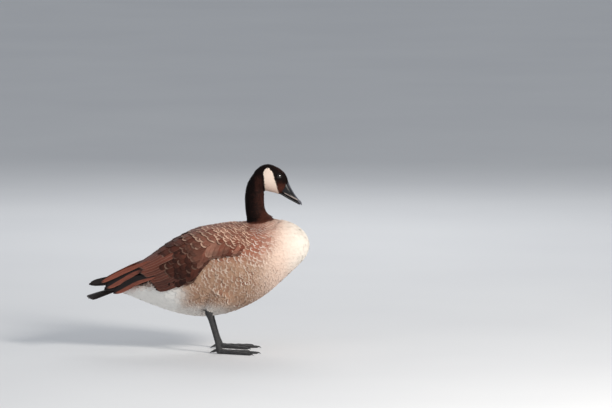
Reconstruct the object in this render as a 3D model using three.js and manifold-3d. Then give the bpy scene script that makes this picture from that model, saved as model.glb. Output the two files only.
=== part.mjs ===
// A life-size standing goose, in millimetres: +X is forward, +Y its left side and +Z up.
// The origin is on the floor, below the middle of the whole bird.
import * as THREE from "three";
import { mergeVertices } from "three/addons/utils/BufferGeometryUtils.js";
import Module from "manifold-3d";

const wasm = await Module();
wasm.setup();

// Gaps and thicknesses
const GAP = 0.3;
const VANE_THICKNESS = 0.8;
const FLIGHT_THICKNESS = 0.9;
const WEB_THICKNESS = 2.2;

// Torso sections from the tail to the breast:
// place along X, level of the widest line, height above it, depth below it, half width
const TORSO = [
  [-190, 144, 0, 0, 0],
  [-181, 145, 9, 9, 15],
  [-152, 151, 23, 26, 30],
  [-105, 161, 47, 55, 50],
  [-52, 172, 72, 84, 69],
  [5, 183, 92, 104, 82],
  [60, 192, 97, 106.5, 88],
  [110, 202, 91, 98.5, 86],
  [155, 213, 85, 82, 77],
  [192, 226, 70, 62, 63],
  [220, 235, 50, 45, 48],
  [241, 240, 26, 27, 29],
  [250, 240, 0, 0, 0],
];
const BACK_FULLNESS = 0.88;
const BELLY_FULLNESS = 1.1;
const TORSO_STEPS = 28;
const TORSO_SIDES = 24;

// Neck rings from the breast to the head: front point along X and Z, back point along X and Z, half width
const NECK = [
  [188, 280, 98, 266, 52],
  [169, 301.5, 107.5, 292, 38],
  [156, 312, 108, 306, 27.5],
  [150, 323, 107, 320, 22.5],
  [148, 338, 106, 338, 20.5],
  [148, 353, 106.5, 355, 20],
  [149.5, 366, 108.8, 370, 20.4],
  [153, 377, 113, 383, 21],
  [160, 387, 120.5, 396, 20.6],
  [169, 394, 131, 408, 18],
];
const NECK_STEPS = 20;
const NECK_SIDES = 18;
const NECK_PARTING = 338;
// The head parts from the neck between these two points of its outline, along X and Z
const NAPE = [119, 397];
const THROAT = [149, 362];

// The head's own frame: its origin is where the feathers meet the ridge of the bill, and it nods down
const HEAD_ORIGIN = new THREE.Vector3(202, 0, 383.6);
const HEAD_NOD = 27;
// Head sections from the nape to the bill: place along the head, top, bottom, half width
const HEAD = [
  [-78, -15, -15, 0],
  [-75.5, -6, -25, 10],
  [-69, 6.4, -33, 16.5],
  [-57, 15.8, -39, 20.4],
  [-43, 17.9, -42, 21],
  [-29, 17.7, -39.5, 20],
  [-17, 14.6, -36.5, 18],
  [-7, 8, -34.7, 15.2],
  [0, 0.8, -33.4, 12.8],
];
const HEAD_STEPS = 16;
const HEAD_SIDES = 18;
const EYE_PLACE = new THREE.Vector3(-25, 12.2, 1);
const EYE_RADIUS = 7;
const LID_RADIUS = 6.1;
const LID_THICKNESS = 1.3;
const LID_TURN = 10;
const LID_RAISE = 20;
const LID_OUT = 5.3;

// Bill sections in the head's frame: place along the head, height of the ridge, height of the edge, half width
const BILL_TOP = [
  [0, 0, -28.4, 12.6],
  [9, -7.2, -28.9, 12.2],
  [18, -13.6, -29.4, 11.2],
  [28, -19.6, -30.2, 10.2],
  [38, -24.2, -31, 9.4],
  [46, -27.6, -32.2, 7.8],
  [50.5, -29.9, -33.6, 5],
  [52.5, -31.6, -34, 2],
];
const BILL_BOTTOM = [
  [0, -28.4, -33.6, 10.8],
  [14, -29.3, -34.6, 9.8],
  [28, -30.3, -35, 8.8],
  [40, -31.3, -35.2, 7.6],
  [47.5, -32.3, -35.2, 5],
];
const BILL_STEPS = 8;
const BILL_SIDES = 12;
const NOSTRIL_PLACE = new THREE.Vector3(20, 10.4, -20.6);
const NOSTRIL_SIZE = new THREE.Vector3(5.2, 2.4, 1.7);
const NAIL_PLACE = new THREE.Vector3(47, 0, -30.2);
const NAIL_SIZE = new THREE.Vector3(4.6, 4.2, 2.4);

// The folded wing lies on the torso between two angles round it, measured from the back
const WING_FRONT = 140;
const WING_REAR = -112;
const WING_UPPER_ANGLE_FRONT = 36;
const WING_UPPER_ANGLE_REAR = 5;
const WING_LOWER_ANGLE_FRONT = 76;
const WING_LOWER_ANGLE_REAR = 94;
const WING_EDGE = 1.6;
const WING_CROWN = 3.6;
const WING_SUNK = 5;
const WING_STEPS = 10;
const WING_ROWS = 4;

// Coverts and shoulder feathers lie in tiers, each tier over the roots of the one behind it
const TIER_PLACES = [124, 99, 71, 40, 6, -34];
const TIER_SPACING = 19;
const TIER_OVERLAP = 1.25;
const TIER_REACH = 1.7;
const TIER_ROOT_DEPTH = 3.2;
const TIER_TIP_LIFT = 3.2;
const TIER_TILT = 2.2;
// Long feathers over the back, the row below them, and the flight feathers that reach past the rump
const TERTIALS = 4;
const SECONDARIES = 5;
const PRIMARIES = 6;
const PRIMARY_WIDTH = 23;
const PRIMARY_STEP = 1.3;
// Where the lowest and the highest of the flight feathers run over the torso:
// place along X, the two angles, the lift, and how much further out each next feather lies
const PRIMARY_COURSE = [
  [-80, 88, 58, 0.8, 0],
  [-106, 92, 59, 1.8, 0.5],
  [-134, 98, 60, 3, 0.95],
];
const LOW_PRIMARY_TIP = new THREE.Vector3(-246, -15, 149);
const HIGH_PRIMARY_TIP = new THREE.Vector3(-190, -14, 174);

// Tail: a low root under the rump and a fan of feathers
const TAIL_ROOT = new THREE.Vector3(-177, 0, 143);
const TAIL_ROOT_SIZE = new THREE.Vector3(29, 25, 8.5);
const TAIL_FEATHERS = 12;
const TAIL_FROM = new THREE.Vector3(-172, 0, 146);
const TAIL_LENGTH = 79;
const TAIL_DROP = 21;
const TAIL_SPREAD = 23;
const TAIL_FEATHER_WIDTH = 22;
const TAIL_STEP = 1.1;

// Legs and feet
const LEG_SIDE = 50;
const KNEE = new THREE.Vector3(52, LEG_SIDE - 6, 146);
const ANKLE = new THREE.Vector3(23, LEG_SIDE + 1, 95);
const TOE_ROOT = new THREE.Vector3(47, LEG_SIDE + 2, 9);
const THIGH_RADIUS = 38;
const SHANK_RADIUS = 8.5;
const TOES = [
  // length, angle outwards, half width at the root
  [68, -24, 5],
  [84, 1, 5.6],
  [76, 25, 5.2],
];
const TOE_TIP_RADIUS = 2.6;
const CLAW_LENGTH = 9;
const HIND_TOE_LENGTH = 17;
const FOOT_TOP = 12.5;

const degrees = Math.PI / 180;
const lerp = THREE.MathUtils.lerp;
const vector = (x, y, z) => new THREE.Vector3(x, y, z);

// Colours and finishes
const finish = (color, roughness) => new THREE.MeshStandardMaterial({ color, roughness, metalness: 0 });
const breastFeathers = finish(0xd9c8b4, 0.9);
const neckFeathers = finish(0x14100f, 0.8);
const headFeathers = finish(0x1a1311, 0.8);
const wingFeathers = finish(0x6f5040, 0.85);
const tailFeathers = finish(0x100e0e, 0.8);
const billHorn = finish(0x17171a, 0.45);
const eyeGloss = finish(0x0c0806, 0.08);
const thighFeathers = finish(0x7d6a5e, 0.9);
const legSkin = finish(0x1a1a1b, 0.6);

// A smooth curve through rows of numbers, at(0) the first and at(rows.length - 1) the last.
// before and after are the rows past its two ends.
function through(rows, before, after) {
  const all = [before, ...rows, after];
  return (t) => {
    const i = Math.min(Math.max(Math.floor(t), 0), rows.length - 2);
    const f = t - i;
    return rows[0].map((_, k) => {
      const [p, q, r, s] = [all[i][k], all[i + 1][k], all[i + 2][k], all[i + 3][k]];
      return q + 0.5 * f * (r - p + f * (2 * p - 5 * q + 4 * r - s + f * (3 * (q - r) + s - p)));
    });
  };
}

// The row past an open end, and the row past an end that closes round
const onward = (end, inner) => end.map((v, k) => 2 * v - inner[k]);
const roundEnd = (inner, fixed) => inner.map((v, k) => (k < fixed ? v : -v));

const fullness = (v, power) => Math.sign(v) * Math.abs(v) ** power;

// A closed body over rings of points. A ring of one repeated point closes to it, and others get a flat cap.
function skinOver(rings) {
  const sides = rings[0].length;
  const points = rings.flat();
  const faces = [];
  for (let i = 0; i + 1 < rings.length; i++) {
    for (let j = 0; j < sides; j++) {
      const a = i * sides + j;
      const b = i * sides + ((j + 1) % sides);
      faces.push([a, b, b + sides], [a, b + sides, a + sides]);
    }
  }
  const cap = (start, turn) => {
    const centre = vector(0, 0, 0);
    for (let j = 0; j < sides; j++) centre.addScaledVector(points[start + j], 1 / sides);
    points.push(centre);
    for (let j = 0; j < sides; j++) {
      const a = start + j;
      const b = start + ((j + 1) % sides);
      faces.push(turn ? [b, a, points.length - 1] : [a, b, points.length - 1]);
    }
  };
  cap(0, true);
  cap((rings.length - 1) * sides, false);
  return closedGeometry(points, faces);
}

// A thin plate over a grid of points, with both faces split the same way
function plate(grid, ups, thickness) {
  const rows = grid.length;
  const columns = grid[0].length;
  const points = [];
  for (const side of [0.5, -0.5]) {
    grid.forEach((row, i) =>
      row.forEach((p, j) => points.push(p.clone().addScaledVector(ups[i][j], side * thickness))),
    );
  }
  const under = rows * columns;
  const faces = [];
  for (let i = 0; i + 1 < rows; i++) {
    for (let j = 0; j + 1 < columns; j++) {
      const a = i * columns + j;
      const [b, c, d] = [a + 1, a + columns + 1, a + columns];
      faces.push([a, b, c], [a, c, d], [a + under, c + under, b + under], [a + under, d + under, c + under]);
    }
  }
  const rim = [];
  for (let j = 0; j < columns; j++) rim.push(j);
  for (let i = 1; i < rows; i++) rim.push(i * columns + columns - 1);
  for (let j = columns - 2; j >= 0; j--) rim.push((rows - 1) * columns + j);
  for (let i = rows - 2; i > 0; i--) rim.push(i * columns);
  rim.forEach((a, k) => {
    const b = rim[(k + 1) % rim.length];
    faces.push([b, a, a + under], [b, a + under, b + under]);
  });
  return closedGeometry(points, faces);
}

function closedGeometry(points, faces) {
  const geometry = new THREE.BufferGeometry();
  geometry.setAttribute("position", new THREE.Float32BufferAttribute(points.flatMap((p) => p.toArray()), 3));
  geometry.setIndex(faces.flat());
  return geometry;
}

// Shared points are merged, faces without area dropped, and the faces turned outwards
function solid(geometry) {
  const bare = geometry.clone();
  for (const name of ["normal", "uv"]) bare.deleteAttribute(name);
  const merged = mergeVertices(bare, 1e-4);
  const corners = merged.index.array;
  const kept = [];
  for (let i = 0; i < corners.length; i += 3) {
    const [a, b, c] = [corners[i], corners[i + 1], corners[i + 2]];
    if (a !== b && b !== c && c !== a) kept.push([a, b, c]);
  }
  const made = (list) =>
    new wasm.Manifold(
      new wasm.Mesh({
        numProp: 3,
        vertProperties: merged.attributes.position.array,
        triVerts: new Uint32Array(list.flat()),
      }),
    );
  const body = made(kept);
  return body.volume() > 0 ? body : made(kept.map(([a, b, c]) => [a, c, b]));
}

function geometryOf(body) {
  const { vertProperties, triVerts } = body.getMesh();
  const geometry = new THREE.BufferGeometry();
  geometry.setAttribute("position", new THREE.BufferAttribute(vertProperties, 3));
  geometry.setIndex(new THREE.BufferAttribute(triVerts, 1));
  return geometry;
}

// The body with its skin moved out by the gap, for cutting a neighbour clear of it
function swollen(body, by = GAP) {
  const geometry = geometryOf(body);
  geometry.computeVertexNormals();
  const { position, normal } = geometry.attributes;
  const point = vector(0, 0, 0);
  for (let i = 0; i < position.count; i++) {
    point.fromBufferAttribute(position, i);
    point.addScaledVector(vector(0, 0, 0).fromBufferAttribute(normal, i), by);
    position.setXYZ(i, point.x, point.y, point.z);
  }
  return solid(geometry);
}

const largest = (body) => body.decompose().reduce((a, b) => (b.volume() > a.volume() ? b : a));

function mirrored(body) {
  const geometry = geometryOf(body);
  geometry.scale(1, -1, 1);
  return solid(geometry);
}

// An ellipsoid with its half sizes
function ellipsoid(place, size, across = 16, down = 10) {
  const geometry = new THREE.SphereGeometry(1, across, down);
  geometry.scale(size.x, size.y, size.z);
  geometry.translate(place.x, place.y, place.z);
  return solid(geometry);
}

// Torso
const torsoRow = through(TORSO, roundEnd(TORSO[1], 2), roundEnd(TORSO.at(-2), 2));

// A point of the torso: t runs along its sections, and angle round them from the back towards the right side
function torsoPoint(t, angle) {
  const [x, level, up, down, half] = torsoRow(t);
  const across = Math.sin(angle);
  const rise = Math.cos(angle);
  const power = rise > 0 ? BACK_FULLNESS : BELLY_FULLNESS;
  return vector(x, -half * fullness(across, power), level + (rise > 0 ? up : down) * fullness(rise, power));
}

function torsoBody() {
  const last = TORSO.length - 1;
  const rings = [];
  for (let i = 0; i <= TORSO_STEPS; i++) {
    const ring = [];
    for (let j = 0; j < TORSO_SIDES; j++) {
      ring.push(torsoPoint((last * i) / TORSO_STEPS, (2 * Math.PI * j) / TORSO_SIDES));
    }
    rings.push(ring);
  }
  return solid(skinOver(rings));
}

// Neck
const neckRow = through(NECK, onward(NECK[0], NECK[1]), onward(NECK.at(-1), NECK.at(-2)));

function neckBody() {
  const last = NECK.length - 1;
  const rings = [];
  for (let i = 0; i <= NECK_STEPS; i++) {
    const t = (last * i) / NECK_STEPS;
    const [frontX, frontZ, backX, backZ, wide] = neckRow(t);
    const ring = [];
    for (let j = 0; j < NECK_SIDES; j++) {
      const angle = (2 * Math.PI * j) / NECK_SIDES;
      const share = (1 + Math.cos(angle)) / 2;
      ring.push(vector(lerp(backX, frontX, share), wide * Math.sin(angle), lerp(backZ, frontZ, share)));
    }
    rings.push(ring);
  }
  return solid(skinOver(rings));
}

// Head and bill, in the head's own frame
const nod = vector(Math.cos(HEAD_NOD * degrees), 0, -Math.sin(HEAD_NOD * degrees));
const crown = vector(-nod.z, 0, nod.x);
const headFrame = new THREE.Matrix4()
  .makeBasis(nod, vector(0, 1, 0), crown)
  .setPosition(HEAD_ORIGIN.x, HEAD_ORIGIN.y, HEAD_ORIGIN.z);

function inHead(geometry) {
  return solid(geometry.applyMatrix4(headFrame));
}

// A body of oval sections between a top line and a bottom line; flat sets how boxy the sections are
function ovalBody(rows, before, steps, sides, flatTop, flatBottom) {
  const row = through(rows, before, onward(rows.at(-1), rows.at(-2)));
  const rings = [];
  for (let i = 0; i <= steps; i++) {
    const [x, top, bottom, half] = row(((rows.length - 1) * i) / steps);
    const ring = [];
    for (let j = 0; j < sides; j++) {
      const angle = (2 * Math.PI * j) / sides;
      const rise = Math.sin(angle);
      const power = rise > 0 ? flatTop : flatBottom;
      const y = half * fullness(Math.cos(angle), power);
      ring.push(vector(x, y, (top + bottom) / 2 + ((top - bottom) / 2) * fullness(rise, power)));
    }
    rings.push(ring);
  }
  return skinOver(rings);
}

const sided = (place, side) => vector(place.x, place.y * side, place.z);

function headBody() {
  const nape = HEAD[1];
  const before = [nape[0], nape[2], nape[1], -nape[3]];
  let head = inHead(ovalBody(HEAD, before, HEAD_STEPS, HEAD_SIDES, 0.9, 0.95));
  for (const side of [-1, 1]) {
    const lid = new THREE.TorusGeometry(LID_RADIUS, LID_THICKNESS, 6, 14);
    lid.scale(1, 0.86, 1);
    lid.rotateX((90 + side * LID_RAISE) * degrees);
    lid.rotateZ(side * -LID_TURN * degrees);
    const facing = vector(Math.sin(LID_TURN * degrees), side * Math.cos(LID_RAISE * degrees), Math.sin(LID_RAISE * degrees));
    const rim = sided(EYE_PLACE, side).addScaledVector(facing, LID_OUT);
    lid.translate(rim.x, rim.y, rim.z);
    head = head.add(inHead(lid));
  }
  for (const side of [-1, 1]) head = head.subtract(swollen(eyeBody(side)));
  return head;
}

function eyeBody(side) {
  const eye = new THREE.SphereGeometry(EYE_RADIUS, 14, 9);
  const place = sided(EYE_PLACE, side);
  eye.translate(place.x, place.y, place.z);
  return inHead(eye);
}

function upperBill() {
  const bill = ovalBody(BILL_TOP, onward(BILL_TOP[0], BILL_TOP[1]), BILL_STEPS, BILL_SIDES, 1.15, 0.45);
  const nail = new THREE.SphereGeometry(1, 10, 7);
  nail.scale(NAIL_SIZE.x, NAIL_SIZE.y, NAIL_SIZE.z);
  nail.rotateY(28 * degrees);
  nail.translate(NAIL_PLACE.x, NAIL_PLACE.y, NAIL_PLACE.z);
  let body = inHead(bill).add(inHead(nail));
  for (const side of [-1, 1]) {
    const nostril = new THREE.SphereGeometry(1, 9, 6);
    nostril.scale(NOSTRIL_SIZE.x, NOSTRIL_SIZE.y, NOSTRIL_SIZE.z);
    nostril.rotateY(22 * degrees);
    const place = sided(NOSTRIL_PLACE, side);
    nostril.translate(place.x, place.y, place.z);
    body = body.subtract(inHead(nostril));
  }
  return body;
}

function lowerBill() {
  const before = onward(BILL_BOTTOM[0], BILL_BOTTOM[1]);
  return inHead(ovalBody(BILL_BOTTOM, before, BILL_STEPS, BILL_SIDES, 0.5, 0.9));
}

// Wings
const wingShare = (x) => THREE.MathUtils.clamp((WING_FRONT - x) / (WING_FRONT - WING_REAR), 0, 1);

// The outline narrows to a round shoulder in front and again behind
const wingTaper = (share) => Math.max(1 - Math.abs(2 * share - 1) ** 5, 0.02) ** 0.5;

function wingAngles(x) {
  const share = wingShare(x);
  const lower = lerp(WING_LOWER_ANGLE_FRONT, WING_LOWER_ANGLE_REAR, share);
  const upper = lerp(WING_UPPER_ANGLE_FRONT, WING_UPPER_ANGLE_REAR, share ** 0.45);
  const middle = (upper + lower) / 2;
  const reach = ((lower - upper) / 2) * wingTaper(share);
  return [(middle - reach) * degrees, (middle + reach) * degrees];
}

// The torso's section number at a place along X
function sectionAt(x) {
  let [low, high] = [0, TORSO.length - 1];
  for (let i = 0; i < 30; i++) {
    const middle = (low + high) / 2;
    if (torsoRow(middle)[0] < x) low = middle;
    else high = middle;
  }
  return (low + high) / 2;
}

// A point over the right wing's side of the torso, lifted off it, and the way out from it there
function overTorso(x, angle, lift) {
  const t = sectionAt(x);
  const place = torsoPoint(t, angle);
  const along = torsoPoint(t + 0.02, angle).sub(torsoPoint(t - 0.02, angle));
  const round = torsoPoint(t, angle + 0.01).sub(torsoPoint(t, angle - 0.01));
  const out = along.cross(round).normalize();
  if (out.dot(vector(0, -Math.sin(angle), Math.cos(angle))) < 0) out.negate();
  return { place: place.addScaledVector(out, lift), out };
}

// How thick the folded wing is over the torso
function wingDepth(x, angle) {
  const [upper, lower] = wingAngles(x);
  const across = THREE.MathUtils.clamp((2 * (angle - upper)) / (lower - upper) - 1, -1, 1);
  return WING_EDGE + WING_CROWN * (1 - across ** 2) * wingTaper(wingShare(x));
}

function wingCore() {
  const rings = [];
  for (let i = 0; i <= WING_STEPS; i++) {
    const x = lerp(WING_FRONT, WING_REAR, (1 - Math.cos((Math.PI * i) / WING_STEPS)) / 2);
    const [upper, lower] = wingAngles(x);
    const outer = [];
    const inner = [];
    for (let j = 0; j <= WING_ROWS; j++) {
      const angle = lerp(upper, lower, j / WING_ROWS);
      outer.push(overTorso(x, angle, wingDepth(x, angle)).place);
      inner.push(overTorso(x, angle, -WING_SUNK).place);
    }
    rings.push([...outer, ...inner.reverse()]);
  }
  return solid(skinOver(rings));
}

// A feather that lies over the torso. from and to hold the place along X, the angle and the lift of its ends,
// tilt raises its lower edge, and shape lists how far along and how wide each of its rows is.
function lyingVane(from, to, width, tilt, shape, thickness) {
  const grid = [];
  const ups = [];
  for (const [along, share] of shape) {
    const [x, angle, lift] = from.map((v, k) => lerp(v, to[k], along));
    const round = overTorso(x, angle + 0.01, 0).place.distanceTo(overTorso(x, angle - 0.01, 0).place) / 0.02;
    const row = [-1, 1].map((side) => {
      const off = (side * share * width) / 2;
      return overTorso(x, angle + off / round, lift + tilt * side * share);
    });
    grid.push(row.map(({ place }) => place));
    ups.push(row.map(({ out }) => out));
  }
  return solid(plate(grid, ups, thickness));
}

// A feather in the open along a line, its flat side turning from the way its root faces to the way its tip does
function openVane(line, rootUp, tipUp, width, shape, thickness) {
  const grid = [];
  const ups = [];
  for (const [along, share] of shape) {
    const ahead = line.getTangent(along);
    const side = ahead.clone().cross(rootUp.clone().lerp(tipUp, Math.min(along * 1.6, 1))).normalize();
    const over = side.clone().cross(ahead).normalize();
    grid.push([-0.5, 0.5].map((s) => line.getPoint(along).addScaledVector(side, s * share * width)));
    ups.push([over, over]);
  }
  return solid(plate(grid, ups, thickness));
}

const SHORT_SHAPE = [[0, 0.45], [0.66, 1], [1, 0.5]];
const LONG_SHAPE = [[0, 0.25], [0.45, 0.95], [0.85, 1], [1, 0.42]];
const FLIGHT_SHAPE = [[0, 0.25], [0.3, 0.95], [0.65, 1], [0.88, 0.72], [1, 0.22]];

function coverts() {
  const vanes = [];
  TIER_PLACES.forEach((x, tier) => {
    const reach = (x - (TIER_PLACES[tier + 1] ?? x - 30)) * TIER_REACH;
    const [upper, lower] = wingAngles(x - reach * 0.25);
    const middle = (upper + lower) / 2;
    const round = overTorso(x, middle + 0.01, 0).place.distanceTo(overTorso(x, middle - 0.01, 0).place) / 0.02;
    const count = Math.max(Math.round(((lower - upper) * round) / TIER_SPACING), 2);
    const step = (lower - upper) / count;
    for (let j = 0; j < count; j++) {
      const angle = upper + step * (j + (tier % 2 ? 0.65 : 0.35));
      const depth = wingDepth(x, angle);
      const end = Math.min(angle * 1.03 + 0.02, lower);
      const tail = wingDepth(x - reach, end);
      vanes.push(lyingVane(
        [x, angle, depth - TIER_ROOT_DEPTH],
        [x - reach, end, tail + TIER_TIP_LIFT],
        step * round * TIER_OVERLAP, TIER_TILT / 2, SHORT_SHAPE, VANE_THICKNESS,
      ));
    }
  });
  return vanes;
}

// The long feathers over the back and the row below them
function longFeathers() {
  const vanes = [];
  for (let k = 0; k < TERTIALS; k++) {
    const share = k / (TERTIALS - 1);
    vanes.push(lyingVane(
      [-40 + 6 * share, lerp(14, 44, share) * degrees, 2],
      [-152 + 24 * share, lerp(20, 52, share) * degrees, 12 - share * 1.6],
      26, 1.5, LONG_SHAPE, FLIGHT_THICKNESS,
    ));
  }
  for (let k = 0; k < SECONDARIES; k++) {
    const share = k / (SECONDARIES - 1);
    vanes.push(lyingVane(
      [-44 + 4 * share, lerp(52, 88, share) * degrees, 1.2],
      [-126 + 10 * share, lerp(62, 102, share) * degrees, 9.5 - share * 5.5],
      21, 1.5, LONG_SHAPE, FLIGHT_THICKNESS,
    ));
  }
  return vanes;
}

function flightFeathers() {
  const tipUp = vector(-0.05, -0.76, 0.65).normalize();
  const vanes = [];
  for (let k = 0; k < PRIMARIES; k++) {
    const share = k / (PRIMARIES - 1);
    const course = PRIMARY_COURSE.map(([x, low, high, lift, step]) =>
      overTorso(x, lerp(low, high, share) * degrees, lift + step * k),
    );
    const tip = LOW_PRIMARY_TIP.clone().lerp(HIGH_PRIMARY_TIP, share).addScaledVector(tipUp, k * PRIMARY_STEP);
    const line = new THREE.CatmullRomCurve3([...course.map(({ place }) => place), tip]);
    vanes.push(openVane(line, course[0].out, tipUp, PRIMARY_WIDTH, FLIGHT_SHAPE, FLIGHT_THICKNESS));
  }
  return vanes;
}

// Tail
function tailRoot() {
  return ellipsoid(TAIL_ROOT, TAIL_ROOT_SIZE, 16, 8);
}

function tailFan() {
  const vanes = [];
  const fall = Math.atan2(TAIL_DROP, TAIL_LENGTH);
  for (let k = 0; k < TAIL_FEATHERS; k++) {
    const side = (2 * k) / (TAIL_FEATHERS - 1) - 1;
    const turn = side * TAIL_SPREAD * degrees;
    const length = TAIL_LENGTH * (1 - 0.1 * side * side);
    const level = -Math.abs(side) * TAIL_STEP * (TAIL_FEATHERS / 2) + (side > 0 ? TAIL_STEP * 0.5 : 0);
    const root = TAIL_FROM.clone().add(vector(0, side * 7, level * 0.6));
    const tip = root.clone().add(vector(
      -length * Math.cos(turn), length * Math.sin(turn), -length * Math.tan(fall) + level * 0.4,
    ));
    const bend = root.clone().lerp(tip, 0.5).add(vector(0, 0, 1.5));
    const line = new THREE.QuadraticBezierCurve3(root, bend, tip);
    const up = vector(0, 0, 1);
    vanes.push(openVane(line, up, up, TAIL_FEATHER_WIDTH, LONG_SHAPE, FLIGHT_THICKNESS));
  }
  return vanes;
}

// A round limb through places with a radius at each: [place, radius]
function limb(stops, sides) {
  const rings = stops.map(([place, radius, flat = 1], i) => {
    const ahead = stops[Math.min(i + 1, stops.length - 1)][0];
    const behind = stops[Math.max(i - 1, 0)][0];
    const along = ahead.clone().sub(behind).normalize();
    const side = vector(0, 1, 0).cross(along).normalize();
    const over = along.clone().cross(side).normalize();
    const ring = [];
    for (let j = 0; j < sides; j++) {
      const angle = (2 * Math.PI * j) / sides;
      const reach = side.clone().multiplyScalar(radius * Math.cos(angle));
      ring.push(reach.addScaledVector(over, radius * flat * Math.sin(angle)).add(place));
    }
    return ring;
  });
  return solid(skinOver(rings));
}

// Legs and feet, for the left side
function thighBody() {
  const stop = (share, radius) => [KNEE.clone().lerp(ANKLE, share), radius];
  return limb(
    [stop(-0.25, 26), stop(0.1, THIGH_RADIUS), stop(0.45, 30), stop(0.7, 19.5), stop(0.85, 12.5), stop(1, 8)],
    16,
  );
}

function shankBody() {
  const stop = (share, radius) => [ANKLE.clone().lerp(TOE_ROOT, share), radius];
  return limb(
    [
      stop(-0.08, 6.4), stop(-0.02, 7.6), stop(0.05, SHANK_RADIUS), stop(0.12, 7), stop(0.22, 5.6), stop(0.5, 5),
      stop(0.78, 5.1), stop(0.92, 6.4), stop(1, 7), stop(1.08, 6.2),
    ],
    12,
  );
}

// A toe along the floor with knuckles that swell and a bent claw
function toeBody(length, turn, half) {
  const ahead = vector(Math.cos(turn * degrees), Math.sin(turn * degrees), 0);
  const start = vector(TOE_ROOT.x, TOE_ROOT.y, 0);
  const stop = (reach, height, radius) => [start.clone().addScaledVector(ahead, reach).setZ(height), radius];
  const stops = [stop(-6, 6, half * 0.7)];
  for (let i = 0; i <= 4; i++) {
    const share = i / 4;
    const knuckle = i % 2 === 1 ? 1.08 : 0.92;
    const radius = lerp(half, TOE_TIP_RADIUS, share) * knuckle;
    stops.push(stop(length * share, lerp(6.5, 2.4, share ** 0.6), radius));
  }
  stops.push(stop(length + CLAW_LENGTH * 0.5, 2.4, 1.7));
  stops.push(stop(length + CLAW_LENGTH, 1, 0.7));
  return limb(stops, 7);
}

function webBody() {
  const tip = (index, share) => {
    const [length, turn] = TOES[index];
    return [
      TOE_ROOT.x + length * share * Math.cos(turn * degrees),
      TOE_ROOT.y + length * share * Math.sin(turn * degrees),
    ];
  };
  const hollow = (a, b, share) => [(a[0] + b[0]) / 2 - share, (a[1] + b[1]) / 2];
  const [inner, middle, outer] = [tip(0, 0.94), tip(1, 0.94), tip(2, 0.94)];
  const outline = new THREE.Shape();
  outline.moveTo(TOE_ROOT.x - 3, TOE_ROOT.y - 3);
  outline.lineTo(...inner);
  outline.quadraticCurveTo(...hollow(inner, middle, 12), ...middle);
  outline.quadraticCurveTo(...hollow(middle, outer, 12), ...outer);
  outline.lineTo(TOE_ROOT.x - 3, TOE_ROOT.y + 3);
  outline.closePath();
  return solid(new THREE.ExtrudeGeometry(outline, { depth: WEB_THICKNESS, bevelEnabled: false, curveSegments: 6 }));
}

function footBody() {
  let foot = webBody();
  for (const [length, turn, half] of TOES) foot = foot.add(toeBody(length, turn, half));
  const back = vector(-0.86, -0.3, 0);
  const root = vector(TOE_ROOT.x, TOE_ROOT.y, 0);
  const stop = (reach, height, radius) => [root.clone().addScaledVector(back, reach).setZ(height), radius];
  const hind = limb([stop(-4, 9, 3), stop(6, 8, 3.4), stop(HIND_TOE_LENGTH, 4.5, 2.4), stop(HIND_TOE_LENGTH + 7, 1.4, 0.7)], 6);
  return foot.add(hind).add(shankBody()).trimByPlane([0, 0, 1], 0).trimByPlane([0, 0, -1], -FOOT_TOP);
}

// Assembly
const torso = torsoBody();
const aroundTorso = swollen(torso);
const eyes = { right: eyeBody(-1), left: eyeBody(1) };
const parting = (body, normal, at) => body.trimByPlane([normal.x, normal.y, normal.z], at);

const headAndNeck = neckBody().add(headBody());
const upwards = vector(NAPE[1] - THROAT[1], 0, THROAT[0] - NAPE[0]).normalize();
const headPlane = upwards.dot(vector(THROAT[0], 0, THROAT[1]));
const billPlane = HEAD_ORIGIN.dot(nod);
const head = largest(
  parting(parting(headAndNeck, upwards, headPlane + GAP / 2), nod.clone().negate(), -(billPlane - GAP)),
);
const billUpper = upperBill();
const billLower = largest(lowerBill().subtract(swollen(billUpper)));

const neck = parting(headAndNeck, upwards.clone().negate(), -(headPlane - GAP / 2)).subtract(aroundTorso);
const neckUpper = largest(parting(neck, vector(0, 0, 1), NECK_PARTING + GAP / 2));
const neckLower = largest(parting(neck, vector(0, 0, -1), -(NECK_PARTING - GAP / 2)));

const joined = (first, vanes) => vanes.reduce((body, vane) => body.add(vane), first);

const tail = largest(joined(tailRoot(), tailFan()).subtract(aroundTorso));
const aroundTail = swollen(tail);
const feathers = [...coverts(), ...longFeathers(), ...flightFeathers()];
const ownSide = joined(wingCore(), feathers).trimByPlane([0, -1, 0], GAP);
const wing = largest([aroundTorso, aroundTail, swollen(neckLower)].reduce((body, other) => body.subtract(other), ownSide));

// The thigh and the shank part at a plane across the leg just above the ankle
const legAxis = ANKLE.clone().sub(KNEE).normalize();
const anklePlane = ANKLE.dot(legAxis) - 4;
const foot = footBody();
const shank = largest(
  parting(parting(shankBody(), vector(0, 0, 1), FOOT_TOP + GAP), legAxis, anklePlane).subtract(aroundTorso),
);
const thigh = largest(parting(thighBody(), legAxis.clone().negate(), -(anklePlane - GAP)).subtract(aroundTorso));

const bird = new THREE.Group();

function place(name, body, material) {
  const mesh = new THREE.Mesh(geometryOf(body), material);
  mesh.name = name;
  bird.add(mesh);
}

place("torso", torso, breastFeathers);
place("neck_lower", neckLower, neckFeathers);
place("neck_upper", neckUpper, neckFeathers);
place("head", head, headFeathers);
place("bill_upper", billUpper, billHorn);
place("bill_lower", billLower, billHorn);
place("tail", tail, tailFeathers);
for (const side of ["left", "right"]) {
  const onSide = (body) => (side === "left" ? body : mirrored(body));
  place(`eye_${side}`, eyes[side], eyeGloss);
  place(`wing_${side}`, side === "right" ? wing : mirrored(wing), wingFeathers);
  place(`thigh_${side}`, onSide(thigh), thighFeathers);
  place(`leg_${side}`, onSide(shank), legSkin);
  place(`foot_${side}`, onSide(foot), legSkin);
}

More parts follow.
